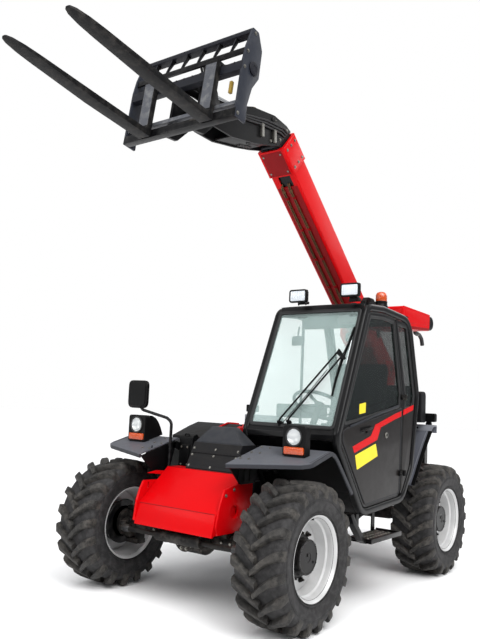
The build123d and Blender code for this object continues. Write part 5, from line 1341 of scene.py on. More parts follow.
# ------------------------------------------------------------------ cylinders and tower
def ram(base, eye, node, body_b, body_r, rb, rr, pin_r, eye_w, rod_w, lb, lr):
    a, b = Vector(base), Vector(eye)
    u = (b - a).normalized()
    X_ = Vector((1, 0, 0))
    side = u.cross(X_).normalized()
    g = [lathe([(pin_r + 16, 0), (pin_r + 16, rb - 6), (pin_r + 24, rb - 1), (lb - 40, rb - 1), (lb - 38, rb), (lb - 4, rb), (lb, rb - 3), (lb, rr + 1), (lb - 30, rr + 0.6), (lb - 30, 0)], a, u, 44, closed=False)]
    ring = [lathe([(lb - 46, rb - 1), (lb - 44, rb + 0), (lb - 40, rb), (lb - 40, rb - 1)], a, u, 44)]
    g.append(lathe([(-eye_w, pin_r + 0.5), (-eye_w, pin_r + 19), (-eye_w + 3, pin_r + 22), (eye_w - 3, pin_r + 22), (eye_w, pin_r + 19), (eye_w, pin_r + 0.5)], a, X_, 40))
    pr = a + side * (rb - 4)
    port = [cyl(a + u * 80 + side * (rb - 6), a + u * 80 + side * (rb + 14), 11, 2, 6), cyl(a + u * (lb - 80) + side * (rb - 6), a + u * (lb - 80) + side * (rb + 14), 11, 2, 6),
            tube([a + u * 80 + side * (rb + 10), a + u * 110 + side * (rb + 12), a + u * (lb - 110) + side * (rb + 12), a + u * (lb - 80) + side * (rb + 10)], 6, 16, 8)]
    piece(node + "_barrel_body", [(g + ring, BLACK), (port, BLACK_OLD)], body_b, node + "_barrel", sharp=34)
    r = [cyl(b - u * lr, b - u * 38, rr, 1, 40)]
    e = [lathe([(-rod_w, 20), (-rod_w, 39), (-rod_w + 3, 42), (rod_w - 3, 42), (rod_w, 39), (rod_w, 20)], b, X_, 40), lathe([(-rod_w + 1, 0), (-rod_w + 1, 21), (rod_w - 1, 21), (rod_w - 1, 0)], b, X_, 28, closed=False), cyl(b - u * 47, b - u * 36, rr + 5, 2, 32)]
    piece(node + "_rod_body", [(r, CHROME), (e, BLACK)], body_r, node + "_rod", sharp=34)


ram((BOOM_X, 1700, 735), BOOM(560, -130, 0), "lift_cylinder", "lift_barrel", "lift_rod", 58, 32, 25, 58, 56, 822, 780)
ram(BOOM(2745, 5, 0), EP, "tilt_cylinder", "tilt_barrel", "tilt_rod", 40, 24, 20, 44, 26, 405, 475)

tw = [(2131, 702), (2719, 702), (2799, 1150), (2819, 1720), (2760, 1799), (2650, 1799), (2560, 1700), (2330, 1120), (2131, 900)]
twp = [ext(tw, BOOM_X + a, BOOM_X + b, SIDE, 4, 2, fil=[4, 6, 60, 40, 50, 50, 60, 80, 20]) for a, b in ((128, 151), (-151, -128))]
twb = ext([(2560, 724), (2700, 724), (2770, 1149), (2740, 1149)], BOOM_X - 128, BOOM_X + 128, SIDE, 3, 2)
twf = [fbox(-299, 299, 2131, 2389, 701, 723, 4), fbox(-299, 299, 2481, 2719, 701, 723, 4)]
twr = [cyl((BOOM_X + a * 151, 2700, 1710), (BOOM_X + a * 168, 2700, 1710), 61, 3, 44) for a in (1, -1)] + [cyl((BOOM_X - 168, 2700, 1710), (BOOM_X + 168, 2700, 1710), 31.5, 2, 36)]
twk = [bolt((BOOM_X + a * 168, 2700 + 46 * cos(t), 1710 + 46 * sin(t)), (a, 0, 0), 15, 0.6, False) for a in (1, -1) for t in (0.5, 2.6, 4.7)]
twh = [bolt((x, y, 723), (0, 0, 1), 26, 13) for x in (-270, 270) for y in (2160, 2360, 2510, 2690)]
twg = [ext([(2200, 724), (2380, 724), (2380, 740), (2330, 900), (2300, 900)], BOOM_X + a, BOOM_X + b, SIDE, 3, 2) for a, b in ((152, 166), (-166, -152))]
piece("tower_plates", [(twp + [twb] + twf + twr[:2] + twg, RED), ([twr[2]] + twh + twk, STEEL)], "chassis", "boom_tower", sharp=34)

# ------------------------------------------------------------------ rear wings, tail lamps, boxes
rw_top, rw_face, rw_rim = [], [], []
WALL_GREY = finish("wall_grey", srgb(84, 86, 94), 0.5, spec=0.26, vary=0.07, grain=0.18, grain_scale=900, top_dust_and_sheen=0.10, dust_and_sheen_col=srgb(120, 116, 112), low_dirt=0.2)
WALL_TOP = finish("wall_top", srgb(112, 114, 120), 0.46, spec=0.3, vary=0.06, grain=0.14, grain_scale=900, top_dust_and_sheen=0.10, dust_and_sheen_col=srgb(140, 136, 130))
for sx in (1, -1):
    def fl(b):
        return b if sx > 0 else flip(b)
    def wall(u, v, d):
        """u across, v height, d ahead of the inclined wall's front face."""
        k = (1742 - 1600) / (1213 - 760)
        return (u, 1600 + (v - 760) * k - d, v)
    edge = [(562, 742), (836, 742), (853, 823), (861, 870), (893, 1045), (916, 1141), (933, 1211), (562, 1211)]
    rw_face.append(fl(ext(edge, -13, 0, wall, 3, 2, fil=[4, 20, 20, 20, 40, 40, 6, 4])))
    rw_top.append(fl(ext([(564, 1166), (922, 1166), (934, 1212), (564, 1212)], -2, 3.5, wall, 2.5, 2, fil=5)))
    rw_top.append(fl(ext([(562, 1746), (934, 1746), (934, 1799), (562, 1799)], 1200, 1213.5, TOP, 4, 3, fil=6)))
    rw_face.append(fl(fbox(562, 934, 1789, 1799, 1151, 1206, 3)))
    line = [wall(x, z, 1) for x, z in ((825, 744), (840, 823), (848, 870), (880, 1045), (903, 1141), (916, 1200))]
    rw_rim.append(fl(sweep(path_round(line, 60, 5), [(-16, -3), (-14, 2), (14, 2), (16, -3)], (0, -1, 0.3))))
    fold_l = [wall(x - 34, z, 0.6) for x, z in ((826, 760), (842, 823), (850, 870), (882, 1045), (905, 1141), (916, 1164))]
    rw_top.append(fl(tube(fold_l, 2.6, 60, 8)))
    panel = cut(ext([(1606, 762), (1748, 1203), (1836, 1201), (1860, 1150), (1880, 900), (1880, 762)], 561, 571, SIDE, 0, 1, fil=[2, 30, 40, 80, 40, 2]), cyl((540, 2100, 440), (600, 2100, 440), 505, 0.5, 72))
    rw_face.append(fl(bevel_bm(panel, 2, 2, 40)))
    rw_rim += [fl(bolt(wall(x, z, 0), (0, -1, 0.3), 13, 6)) for x, z in ((600, 1180), (700, 1186), (800, 1186), (640, 800), (640, 960), (640, 1100))]
piece("rear_wing_walls", [(rw_face, WALL_GREY), (rw_top, WALL_TOP), (rw_rim, PLASTIC_BLACK)], "chassis", "rear_fenders", sharp=36)
tlb, tll, tlo = [], [], []
for sx in (1, -1):
    def fl(b):
        return b if sx > 0 else flip(b)
    tlb += [fl(ext([(813, 1237), (934, 1237), (934, 1305), (813, 1305)], 1753, 1796, FRONT, 6, 3, fil=12)), fl(ext([(852, 1214), (898, 1214), (892, 1238), (858, 1238)], 1762, 1790, FRONT, 4, 2, fil=4))]
    tlb += [fl(bolt((x, 1753, 1296), (0, -1, 0), 8, 0.5)) for x in (826, 920)]
    tll.append(fl(ext([(874, 1241), (931, 1241), (931, 1301), (874, 1301)], 1794, 1803.6, FRONT, 3, 3, fil=10)))
    tll.append(fl(ext([(905, 1244), (933, 1244), (933, 1298), (905, 1298)], 1760, 1800, FRONT, 5, 3, fil=8)))
    tlo.append(fl(ext([(817, 1241), (870, 1241), (870, 1301), (817, 1301)], 1794, 1803, FRONT, 3, 3, fil=10)))
piece("tail_lamp_bodies", [(tlb, PLASTIC_BLACK), (tll, RED_LENS), (tlo, AMBER)], "chassis", "tail_lamps", sharp=40)
rb1 = ext([(1629, 1231), (1721, 1231), (1721, 1475), (1629, 1475)], 641, 871, SIDE, 12, 4, fil=[10, 16, 60, 46], fn=6)
rb1b = [sweep([(x, y, z) for y, z in rounded([(1630, 1234), (1720, 1234), (1720, 1474), (1630, 1474)], [10, 16, 60, 46], 6)], [(-5, -1.5), (5, -1.5), (5, 1), (-5, 1)], (1, 0, 0), closed=True) for x in (700, 812)]
cap_t = lathe([(0, 0), (0, 30), (14, 32), (22, 28), (22, 0)], (756, 1675, 1452), (0, 0, 1), 32, closed=False)
rb2 = ext([(-554, 1207), (-301, 1207), (-301, 1329), (-554, 1329)], 1701, 2199, FRONT, 10, 3, fil=18)
rbl = [ext([(-548, 1300), (-307, 1300), (-307, 1306), (-548, 1306)], 1699.5, 2199.5, FRONT, 1.5, 2)]
latch = [fbox(-566, -554, 1820, 1860, 1270, 1318, 4), fbox(-566, -554, 2060, 2100, 1270, 1318, 4)]
# the hook is coloured with the darker red copy: painted shade
hook = [tube([(700, 1622, 1400), (700, 1612, 1420), (716, 1610, 1446), (748, 1612, 1450), (770, 1616, 1430)], 8, 16, 10), fbox(690, 712, 1614, 1628, 1384, 1406, 3)]
piece("rear_box_bodies", [([rb1] + rb1b + [rb2] + rbl, PLASTIC), ([cap_t] + latch, PLASTIC_BLACK), (hook, RED_PAINTED_SHADE)], "chassis", "rear_boxes", sharp=36)

# ------------------------------------------------------------------ roof-level cowl
rc = [(1500, 1962), (2040, 2000), (2052, 2140), (1500, 2150)]
rcb = ext(rc, 400, 760, SIDE, 9, 4, fil=[14, 14, 30, 30])
rct = ext([(1512, 2149), (2046, 2139.6), (2050, 2128), (1506, 2136)], 750, 760.4, SIDE, 2, 2)
# dark red strip along the lower edge of the cowl's side: painted shade
cowl_low_edge_shade = ext([(1508, 1966), (2034, 2002), (2038, 2022), (1508, 1992)], 757, 761, SIDE, 1.5, 2)
rcp = ext([(1540, 2020), (2010, 2040), (2014, 2112), (1540, 2122)], 757, 761.5, SIDE, 3, 3, fil=22)
drum = lathe([(0, 0), (0, 54), (6, 60), (12, 62), (326, 62), (332, 60), (338, 52), (338, 40), (334, 36), (334, 0)], (420, 2080, 2070), (1, 0, 0), 56, closed=False)
dring = [lathe([(a, 61), (a, 62.8), (a + 5, 62.8), (a + 5, 61)], (420, 2080, 2070), (1, 0, 0), 56) for a in (60, 160, 270)]
hs = tube([(600, 2110, 2016), (600, 2115, 1995), (600, 2203, 1991), (600, 2261, 1956), (600, 2280, 1900)], 17, 60, 14)
hcl = [lathe([(0, 16), (0, 20), (14, 20), (14, 16)], (600, 2150, 1993), (0, 1, -0.05), 24)]
legs = [ext([(1560, 1964), (1600, 1966), (1590, 1900), (1570, 1900)], 500, 520, SIDE, 2, 2), ext([(1560, 1964), (1600, 1966), (1590, 1900), (1570, 1900)], 640, 660, SIDE, 2, 2)]
piece("cowl_shell", [([rcb, rct, rcp], RED), ([cowl_low_edge_shade], RED_PAINTED_SHADE), ([drum] + dring + legs, BLACK), ([hs], HOSE), (hcl, STEEL)], "chassis", "roof_cowl", sharp=36)

# ------------------------------------------------------------------ engine side
bayb = [bolt((-760, y, z), (-1, 0, 0), 15, 7) for y in (600, 830, 1060, 1290, 1520) for z in (630, 980)]
louv = [ext([(900 + 60 * k, 700), (940 + 60 * k, 700), (940 + 60 * k, 900), (900 + 60 * k, 900)], -764, -758, SIDE, 2.5, 2, fil=8) for k in range(8)]
seams = [ext([(y, 606), (y + 6, 606), (y + 6, 1004), (y, 1004)], -762, -759, SIDE, 1, 1) for y in (820, 1440)]
fl_mesh = [ext([(-740 + 52 * k, 640), (-706 + 52 * k, 640), (-706 + 52 * k, 960), (-740 + 52 * k, 960)], 555.5, 560.5, FRONT, 2, 2, fil=8) for k in range(8)]
refine("engine_bay", "chassis", BLACK, r=6, seg=3, extra=[(louv + seams + fl_mesh, PLASTIC_BLACK), (bayb, STEEL)])
eng = [fbox(-670, -370, 700, 1360, 650, 760, 14, 3), fbox(-640, -400, 720, 1180, 750, 930, 12, 3), fbox(-660, -560, 760, 1120, 880, 950, 16, 3)]
eng += [cyl((-520, 1180, 840), (-520, 1360, 840), 110, 14, 36), cyl((-440, 690, 800), (-440, 730, 800), 80, 6, 36), cyl((-560, 690, 860), (-560, 730, 860), 46, 5, 28)]
eng += [tube([(-610, 800 + 80 * k, 930), (-660, 800 + 80 * k, 900), (-670, 800 + 80 * k, 830)], 17, 30, 12) for k in range(4)]
engs = [bolt((-400 - 60 * k, 760 + 90 * j, 930), (0, 0, 1), 17, 10) for k in range(4) for j in range(4)]
piece("engine_body", [(eng, BLACK_OLD), (engs, STEEL)], "chassis", "engine_block", sharp=34)
bsk = [(-768, 1016), (-270, 1016), (-270, 1130), (-350, 1150), (-670, 1095), (-768, 1040)]
bon = cut(ext(bsk, 551, 1569, FRONT, 8, 3, fil=[4, 4, 26, 60, 90, 16]), ext([(500, 1024), (551, 1043), (746, 1115), (862, 1152), (862, 1300), (500, 1300)], -900, -200, SIDE, 0, 1))
rededge = tube([(-450, 554, 1051), (-450, 746, 1122), (-450, 858, 1155), (-450, 1000, 1148)], 8, 60, 10)
slope = ext([(548, 1017), (548, 1044), (746, 1117.5), (858, 1150.5), (858, 1140), (748, 1106), (556, 1036), (556, 1017)], -764, -304, SIDE, 2, 2, fil=[2, 6, 60, 2, 2, 60, 6, 2])
bsl = [ext([(-620 + 6 * 0, 1), (-400, 1), (-400, 1), (-620, 1)], 0, 0.1, FRONT, 0, 1)] if False else []
bl = [tube([(-766, y, 1030), (-766, y, 1020), (-772, y, 1010)], 6, 8, 8) for y in (760, 1340)]
bslot = []
for k in range(9):
    y = 900 + 64 * k
    a = Vector((-640, y, 1101))
    b = Vector((-380, y, 1145))
    bslot.append(hull([a, b, a + Vector((0, 34, 0)), b + Vector((0, 34, 0)), a + Vector((0, 6, 5)), b + Vector((0, 6, 4.5)), a + Vector((0, 30, 5)), b + Vector((0, 30, 4.5))], 1.2, 2))
bedge = [tube([(-275, 870, 1128), (-275, 1200, 1129), (-275, 1560, 1129)], 5, 10, 8)]
bh = [cyl((-262, y, 1010), (-262, y + 60, 1010), 13.5, 2, 20) for y in (640, 1400)] + [fbox(-292, -262, y + 2, y + 58, 1016, 1024, 2) for y in (640, 1400)]
brub = [sweep([(-768, 552, 1017), (-768, 1568, 1017)], [(-3, -4), (3, -4), (3, 2), (-3, 2)], (0, 0, 1))]
piece("bonnet_skin", [([bon, rededge] + bslot + bh + bedge, RED), (bl, BLACK_OLD), ([slope], PLASTIC_BLACK), (brub, GASKET)], "bonnet_lid", "bonnet", sharp=34)

# ------------------------------------------------------------------ chassis, axles, steering
ch_extra = []
chs = []
for sx in (-1, 1):
    for y in (320, 520, 900, 1160, 1400, 1640, 1900, 2300, 2600):
        for z in (560, 660):
            chs.append(bolt((sx * 300, y, z), (sx, 0, 0), 20, 9))
pipes_c = [tube([(306, 380, 610), (306, 900, 604), (306, 1500, 604), (306, 1900, 620)], 7, 40, 8), tube([(306, 380, 590), (306, 900, 584), (306, 1500, 584), (306, 1900, 600)], 7, 40, 8)]
boxr = [ext([(390, 556), (480, 556), (480, 596), (390, 604)], 306, 338, SIDE, 5, 3, fil=8), cyl((330, 500, 560), (330, 560, 560), 40, 4, 32)]
# red box and tube under the frame, coloured with the darker red copy: painted shade
redb = [ext([(500, 540), (620, 540), (620, 596), (500, 596)], 306, 420, SIDE, 6, 3, fil=10), tube([(350, 520, 520), (420, 560, 520), (470, 640, 530), (470, 740, 560)], 14, 40, 12)]
refine("chassis_frame", "chassis", BLACK, r=3, extra=[(chs, STEEL), (pipes_c, BLACK_OLD), (boxr, BLACK_OLD), (redb, RED_PAINTED_SHADE)])
for nm, y0, arm in (("front", 0.0, -1), ("rear", 2100.0, 1)):
    ex = []
    for sx in (-1, 1):
        ex += [bolt((sx * 600, y0, 440 + dz), (0, 0, 1 if dz > 0 else -1), 30, 8) for dz in (128, -128)]
        ex += [bolt((sx * x, y0 + 30 * arm, 440), (0, arm, 0), 18, 40) for x in (260, 330)]
        for k in range(8):
            t = 2 * pi * k / 8
            ex.append(bolt((sx * 97, y0 + 98 * cos(t), 440 + 98 * sin(t)), (sx, 0, 0), 15, 8))
    ex += [bolt((70 * cos(2 * pi * k / 10), y0 + arm * 125, 440 + 70 * sin(2 * pi * k / 10)), (0, arm, 0), 15, 8) for k in range(10)]
    ho = [tube([(sx * 175, y0 + arm * 175, 474), (sx * 175, y0 + arm * 168, 520), (sx * 130, y0 + arm * 80, 560), (sx * 60, y0 + arm * 20, 590)], 8, 40, 10) for sx in (-1, 1)]
    refine(nm + "_axle", "chassis", BLACK_OLD, r=3, extra=[(ex, STEEL), (ho, HOSE)])
    bd = nm + "_track_rod"
    ys = y0 + arm * 175
    refine(nm + "_steering_rod", bd, BLACK_OLD, r=2, extra=[([lathe([(0, 0), (0, 24), (5, 24), (9, 19), (9, 0)], (sx * 515, ys, 453), (0, 0, 1), 28, closed=False) for sx in (-1, 1)], BLACK_OLD), ([lathe([(-34, 17), (-30, 26), (-10, 27), (10, 24), (18, 17)], (sx * 470, ys, 440), (1, 0, 0), 28) for sx in (-1, 1)], HOSE)])
    for side_, sx in (("left", 1), ("right", -1)):
        kb = [bolt((sx * 664, y0 + 80 * cos(2 * pi * k / 10), 440 + 80 * sin(2 * pi * k / 10)), (sx, 0, 0), 13, 5, False) for k in range(10)]
        kb += [bolt((sx * 604, y0 + dy, 440 + dz), (0, -arm, 0), 14, 8) for dy in (-arm * 45,) for dz in (-60, 60)]
        refine("%s_%s_knuckle" % (nm, side_), "%s_%s_hub_carrier" % (nm, side_), BLACK_OLD, r=3, extra=[(kb, STEEL)])

# ------------------------------------------------------------------ counterweight, hitch, step
CWP = [(2505, 732), (2724, 732), (2724, 560), (2900, 560), (2930, 700), (2930, 1080), (2840, 1150), (2505, 1150)]
cwf = [2, 8, 20, 30, 30, 50, 40, 10]
cws = [bevel_bm(cut(ext(CWP, a, b, SIDE, 0, 1, fil=cwf), ext([(sg * 554, 2490), (sg * 620, 2490), (sg * 620, 2990), (sg * 396, 2990), (sg * 402, 2930)], 400, 1300, TOP, 0, 1)), 9, 3, 30) for a, b, sg in ((-549, -231, -1), (131, 549, 1))]
cws.append(ext([(2825, 521), (2899, 560), (2929, 700), (2929, 999), (2825, 999)], -230, 130, SIDE, 6, 3, fil=[10, 20, 30, 20, 10]))
cwb = [bolt((x, 2930, z), (0, 1, 0), 26, 12) for x in (-350, -280, 190, 350) for z in (760, 1020)]
cwb = [bolt((x, 2918, z), (0, 1, 0), 26, 11) for x in (-350, -280, 190, 350) for z in (760, 1020)]
grille = [ext([(-200 + 40 * k, 700), (-176 + 40 * k, 700), (-176 + 40 * k, 960), (-200 + 40 * k, 960)], 2926, 2930, FRONT, 1.5, 2, fil=8) for k in range(8)]
piece("counterweight_cast", [(cws, BLACK_OLD), (cwb, STEEL), (grille, PLASTIC_BLACK)], "chassis", "counterweight", sharp=34)
refine("tow_hitch", "chassis", BLACK_OLD, r=3, extra=[([cyl((0, 3030, 560), (0, 3030, 706), 14, 3, 24), lathe([(0, 0), (0, 24), (6, 24), (8, 20), (8, 0)], (0, 3030, 684), (0, 0, 1), 28, closed=False)] + [bolt((x, 2960, z), (0, 1, 0), 20, 10) for x in (-48, 48) for z in (580, 680)], STEEL)])
st = [ext([(700, 430), (1179, 430), (1179, 443), (700, 443)], 712, 924, SIDE, 2.5, 2)]
st += [ext([(y, 443), (y + 44, 443), (y + 44, 640), (y, 640)], 712, 724, SIDE, 2, 2, fil=4) for y in (860, 1110)]
st += [ext([(700, 430), (711, 430), (711, 458), (700, 458)], 724, 924, SIDE, 2, 2), ext([(1168, 430), (1179, 430), (1179, 458), (1168, 458)], 724, 924, SIDE, 2, 2), ext([(701, 430), (1178, 430), (1178, 462), (701, 462)], 915, 924.6, SIDE, 2, 2)]
st += [ext([(478, 640), (520, 640), (552, 596), (676, 470), (716, 446), (780, 444), (780, 428), (700, 426), (646, 452), (520, 576)], 838, 884, SIDE, 4, 2, fil=[4, 4, 30, 40, 30, 4, 4, 30, 40, 30])]
stg = []
for i in range(11):
    for j in range(4):
        x, y = 750 + 46 * j, 728 + 41 * i
        stg.append(lathe([(0, 0), (0, 11), (3, 9), (4, 5), (3, 4), (1, 4)], (x, y, 442.6), (0, 0, 1), 10, closed=False))
piece("cab_step_tread", [(st, BLACK), (stg, STEEL)], "chassis", "cab_step", sharp=34)

# ------------------------------------------------------------------ inside the cab
CXX = (XR + XL) / 2
dsh = [(354, 1095), (480, 927), (545, 927), (599, 1150), (584, 1188), (480, 1199), (354, 1140)]
dash = ext(dsh, CXX - 149, CXX + 149, SIDE, 12, 4, fil=[20, 30, 30, 30, 20, 40, 20])
pod = hull([(CXX - 110, 500, 1190), (CXX + 110, 500, 1190), (CXX - 100, 586, 1188), (CXX + 100, 586, 1188), (CXX - 100, 520, 1199), (CXX + 100, 520, 1199), (CXX - 90, 560, 1199), (CXX + 90, 560, 1199)], 4, 3)
dials = [lathe([(0, 24), (0, 29), (5, 30), (8, 27), (8, 24)], (CXX + dx, 592, 1166), (0, 0.97, 0.24), 32) for dx in (-70, 0, 70)]
dface = [lathe([(0, 0), (0, 24), (2, 24), (2, 0)], (CXX + dx, 592, 1166), (0, 0.97, 0.24), 32, closed=False) for dx in (-70, 0, 70)]
sw = [ext([(CXX - 120 + 34 * k, 1100), (CXX - 98 + 34 * k, 1100), (CXX - 98 + 34 * k, 1128), (CXX - 120 + 34 * k, 1128)], 578, 592, FRONT, 2, 2, fil=3) for k in range(7)]
piece("dash_shell", [([dash, pod], PLASTIC_BLACK), (dials, GASKET), (dface, WHITE), (sw, PLASTIC)], "chassis", "dashboard", sharp=36)
wn = Vector((0, 0.5, 0.866))
hubp = Vector((CXX, 700, 1330))
wx_, wy_, wz_ = Vector((1, 0, 0)), wn.cross(Vector((1, 0, 0))), wn
ringp = [hubp + wx_ * (190 * cos(t)) + wy_ * (190 * sin(t)) for t in [2 * pi * k / 56 for k in range(56)]]
wring = sweep(ringp, [(13 * cos(a), 13 * sin(a)) for a in [2 * pi * k / 12 for k in range(12)]], wn, closed=True)
spk = [sweep([hubp + wx_ * (a * 30), hubp + wx_ * (a * 110) - wn * 8, hubp + wx_ * (a * 184)], [(-13, -5), (13, -5), (13, 4), (-13, 4)], wn) for a in (1, -1)]
spk.append(sweep([hubp - wy_ * 30, hubp - wy_ * 110 - wn * 8, hubp - wy_ * 184], [(-13, -5), (13, -5), (13, 4), (-13, 4)], wn))
hub = lathe([(-15, 0), (-15, 34), (-8, 38), (10, 38), (16, 32), (18, 0)], hubp, wn, 36, closed=False)
knob = lathe([(8, 0), (8, 10), (20, 16), (40, 19), (52, 14), (56, 0)], hubp + wx_ * (-164) + wy_ * 95, wn, 24, closed=False)
colm = [cyl((CXX, 606, 1180), tuple(hubp - wn * 16), 23, 2, 28), tube([(CXX + 30, 660, 1262), (CXX + 90, 664, 1270), (CXX + 150, 668, 1290)], 6, 20, 8)]
piece("wheel_ring", [([wring, hub, knob] + spk, PLASTIC_BLACK), (colm, PLASTIC)], "chassis", "steering_wheel", sharp=40)
sbl = [ext([(961, 724), (1269, 724), (1261, 760), (968, 760)], CXX - 164, CXX + 189, SIDE, 6, 3, fil=8)]
sbl += [ext([(980, 760), (1250, 760), (1246, 780 + 24 * k), (984, 780 + 24 * k)], CXX - 150 + 3 * k, CXX + 176 - 3 * k, SIDE, 3, 2, fil=6) for k in (0,)]
for k in range(7):
    z0 = 764 + 26 * k
    sbl.append(ext([(972 + (4 if k % 2 else 0), z0), (1256 - (4 if k % 2 else 0), z0), (1256 - (4 if k % 2 else 0), z0 + 24), (972 + (4 if k % 2 else 0), z0 + 24)], CXX - 158 + (5 if k % 2 else 0), CXX + 183 - (5 if k % 2 else 0), SIDE, 9, 3, fil=9))
sbl += [ext([(938, 946), (1264, 946), (1262, 984), (938, 1002)], CXX - 165, CXX + 190, SIDE, 5, 3, fil=8), ext([(962, 674), (1268, 692), (1268, 724), (962, 724)], CXX - 163, CXX + 188, SIDE, 3, 2)]
piece("seat_stand", [(sbl, PLASTIC_BLACK)], "chassis", "seat_base", sharp=36)


def pad(name, bm, cap, voxel=0.012, stands=(), seams=()):
    """Padded part: remeshed, swollen by cloth with pressure, then given piping along its seams."""
    bm.transform(SCALE)
    ob = to_object(name, bm)
    md = ob.modifiers.new("rm", "REMESH")
    md.mode, md.voxel_size = "VOXEL", voxel
    apply_all(ob)
    rest = [v.co.copy() for v in ob.data.vertices]
    sc = bpy.context.scene
    md = ob.modifiers.new("cloth", "CLOTH")
    md.settings.use_pressure = True
    md.settings.uniform_pressure_force = 4.0
    md.settings.effector_weights.gravity = 0.0
    md.settings.quality = 4
    md.point_cache.frame_start, md.point_cache.frame_end = 1, 20
    for f in range(1, 21):
        sc.frame_set(f)
    apply_all(ob)
    sc.frame_set(1)
    for v, r in zip(ob.data.vertices, rest):
        d = v.co - r
        if d.length > cap:
            v.co = r + d.normalized() * cap
    sm = ob.modifiers.new("sm", "SMOOTH")
    sm.factor, sm.iterations = 0.5, 3
    sb = ob.modifiers.new("sub", "SUBSURF")
    sb.levels = sb.render_levels = 1
    apply_all(ob)
    from mathutils.bvhtree import BVHTree
    bm2 = bmesh.new()
    bm2.from_mesh(ob.data)
    tree = BVHTree.FromBMesh(bm2)
    sinv = SCALE.inverted()
    for path, r in seams:
        P = []
        for p in path:
            q = tree.find_nearest(SCALE @ Vector(p))
            P.append(sinv @ (q[0] + q[1] * 0.0005))
        t = tube(P, r, 0, 8) if (P[0] - P[-1]).length > 5 else sweep(P[:-1], [(r * cos(a), r * sin(a)) for a in [2 * pi * k / 8 for k in range(8)]], (1, 0, 0.01), closed=True)
        t.transform(SCALE)
        for f in t.faces:
            f.material_index = 1
        merge(bm2, t)
    bm2.to_mesh(ob.data)
    bm2.free()
    ob.data.materials.clear()
    ob.data.materials.append(SEAT)
    ob.data.materials.append(SEAT_PIPE)
    ob.data.shade_smooth()
    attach(ob, "chassis")
    if stands:
        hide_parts(*stands)
    return ob


def apply_all(ob):
    dg = bpy.context.evaluated_depsgraph_get()
    me = bpy.data.meshes.new_from_object(ob.evaluated_get(dg))
    old = ob.data
    ob.modifiers.clear()
    ob.data = me
    bpy.data.meshes.remove(old)


SEAT_PIPE = finish("seat_piping", srgb(22, 22, 24), 0.6, vary=0.1, grain=0.2, grain_scale=900)


def loop_x(pts, x, step=14):
    """Closed path at depth x following an outline in (y, z)."""
    P = [Vector(p) for p in rounded(pts, 24, 6)]
    out = []
    for a, b in zip(P, P[1:] + P[:1]):
        n = max(1, int((b - a).length / step))
        out += [a + (b - a) * (k / n) for k in range(n)]
    return [(x, p.x, p.y) for p in out] + [(x, out[0].x, out[0].y)]


cu = [(912, 1018), (1248, 1000), (1256, 1088), (1226, 1098), (946, 1114), (904, 1084)]
bk = [(1280, 1118), (1362, 1146), (1404, 1636), (1378, 1686), (1332, 1678), (1274, 1186)]
cb_ = ext(cu, CXX - 216, CXX + 216, SIDE, 26, 4, fil=[20, 20, 26, 20, 30, 26])
bb_ = ext(bk, CXX - 206, CXX + 206, SIDE, 26, 4, fil=[18, 24, 30, 30, 30, 40])
pad("seat_cushion", cb_, 0.012, stands=("seat",), seams=[(loop_x(cu, CXX + s * 206), 3.4) for s in (1, -1)] + [([(CXX + s * 100, 930 + 20 * k, 1120) for k in range(15)], 2.4) for s in (1, -1)] + [([(CXX - 190 + 20 * k, 1090, 1120) for k in range(20)], 2.4)])
pad("seat_back", bb_, 0.012, seams=[(loop_x(bk, CXX + s * 196), 3.4) for s in (1, -1)] + [([(CXX + s * 96, 1270, 1210 + 24 * k) for k in range(18)], 2.4) for s in (1, -1)])
inl = [ext([(1380, 740), (1440, 900), (1490, 1140), (1470, 1140), (1420, 900), (1360, 740)], XR + 40, XL - 40, SIDE, 3, 2)]
lever = [cyl((700, 900, 1060), (700, 880, 1200), 7, 2, 12), lathe([(0, 0), (0, 12), (30, 20), (60, 17), (66, 0)], (700, 882, 1190), (0, -0.14, 0.99), 20, closed=False), ext([(820, 722), (1010, 722), (1040, 1050), (1000, 1076), (850, 1070)], 672, 742, SIDE, 10, 3, fil=20)]
intm = [tube([(300, 700, 1900), (300, 690, 1850), (300, 686, 1830)], 6, 10, 8), ext([(250, 1760), (350, 1760), (350, 1830), (250, 1830)], 680, 700, FRONT, 5, 3, fil=12)]
visor = ext([(330, 1880), (620, 1880), (620, 1990), (330, 1990)], 706, 714, FRONT, 3, 2, fil=14)
piece("cab_inside", [(inl + lever, PLASTIC_BLACK), (intm + [visor], PLASTIC)], "chassis", sharp=36)

PLAIN = {"red_paint": RED, "black_paint": BLACK, "dark_panel": PANEL, "dark_plastic": PLASTIC, "amber_lens": AMBER, "red_lens": RED_LENS, "seat_cover": SEAT, "glass": GLASS, "chrome_rod": CHROME, "rim_paint": RIM, "tyre": RUBBER}
SLOT_OF = {}
for nm, ob in NODES.items():
    if ob.hide_render or nm in ("cab_glass", "door_glass", "cab_quarter_glass"):
        continue
    key = ob.data.materials[0].name if ob.data.materials and ob.data.materials[0] else ""
    mt = next((PLAIN[k] for k in PLAIN if k in key), BLACK)
    ob.data.materials.clear()
    ob.data.materials.append(mt)


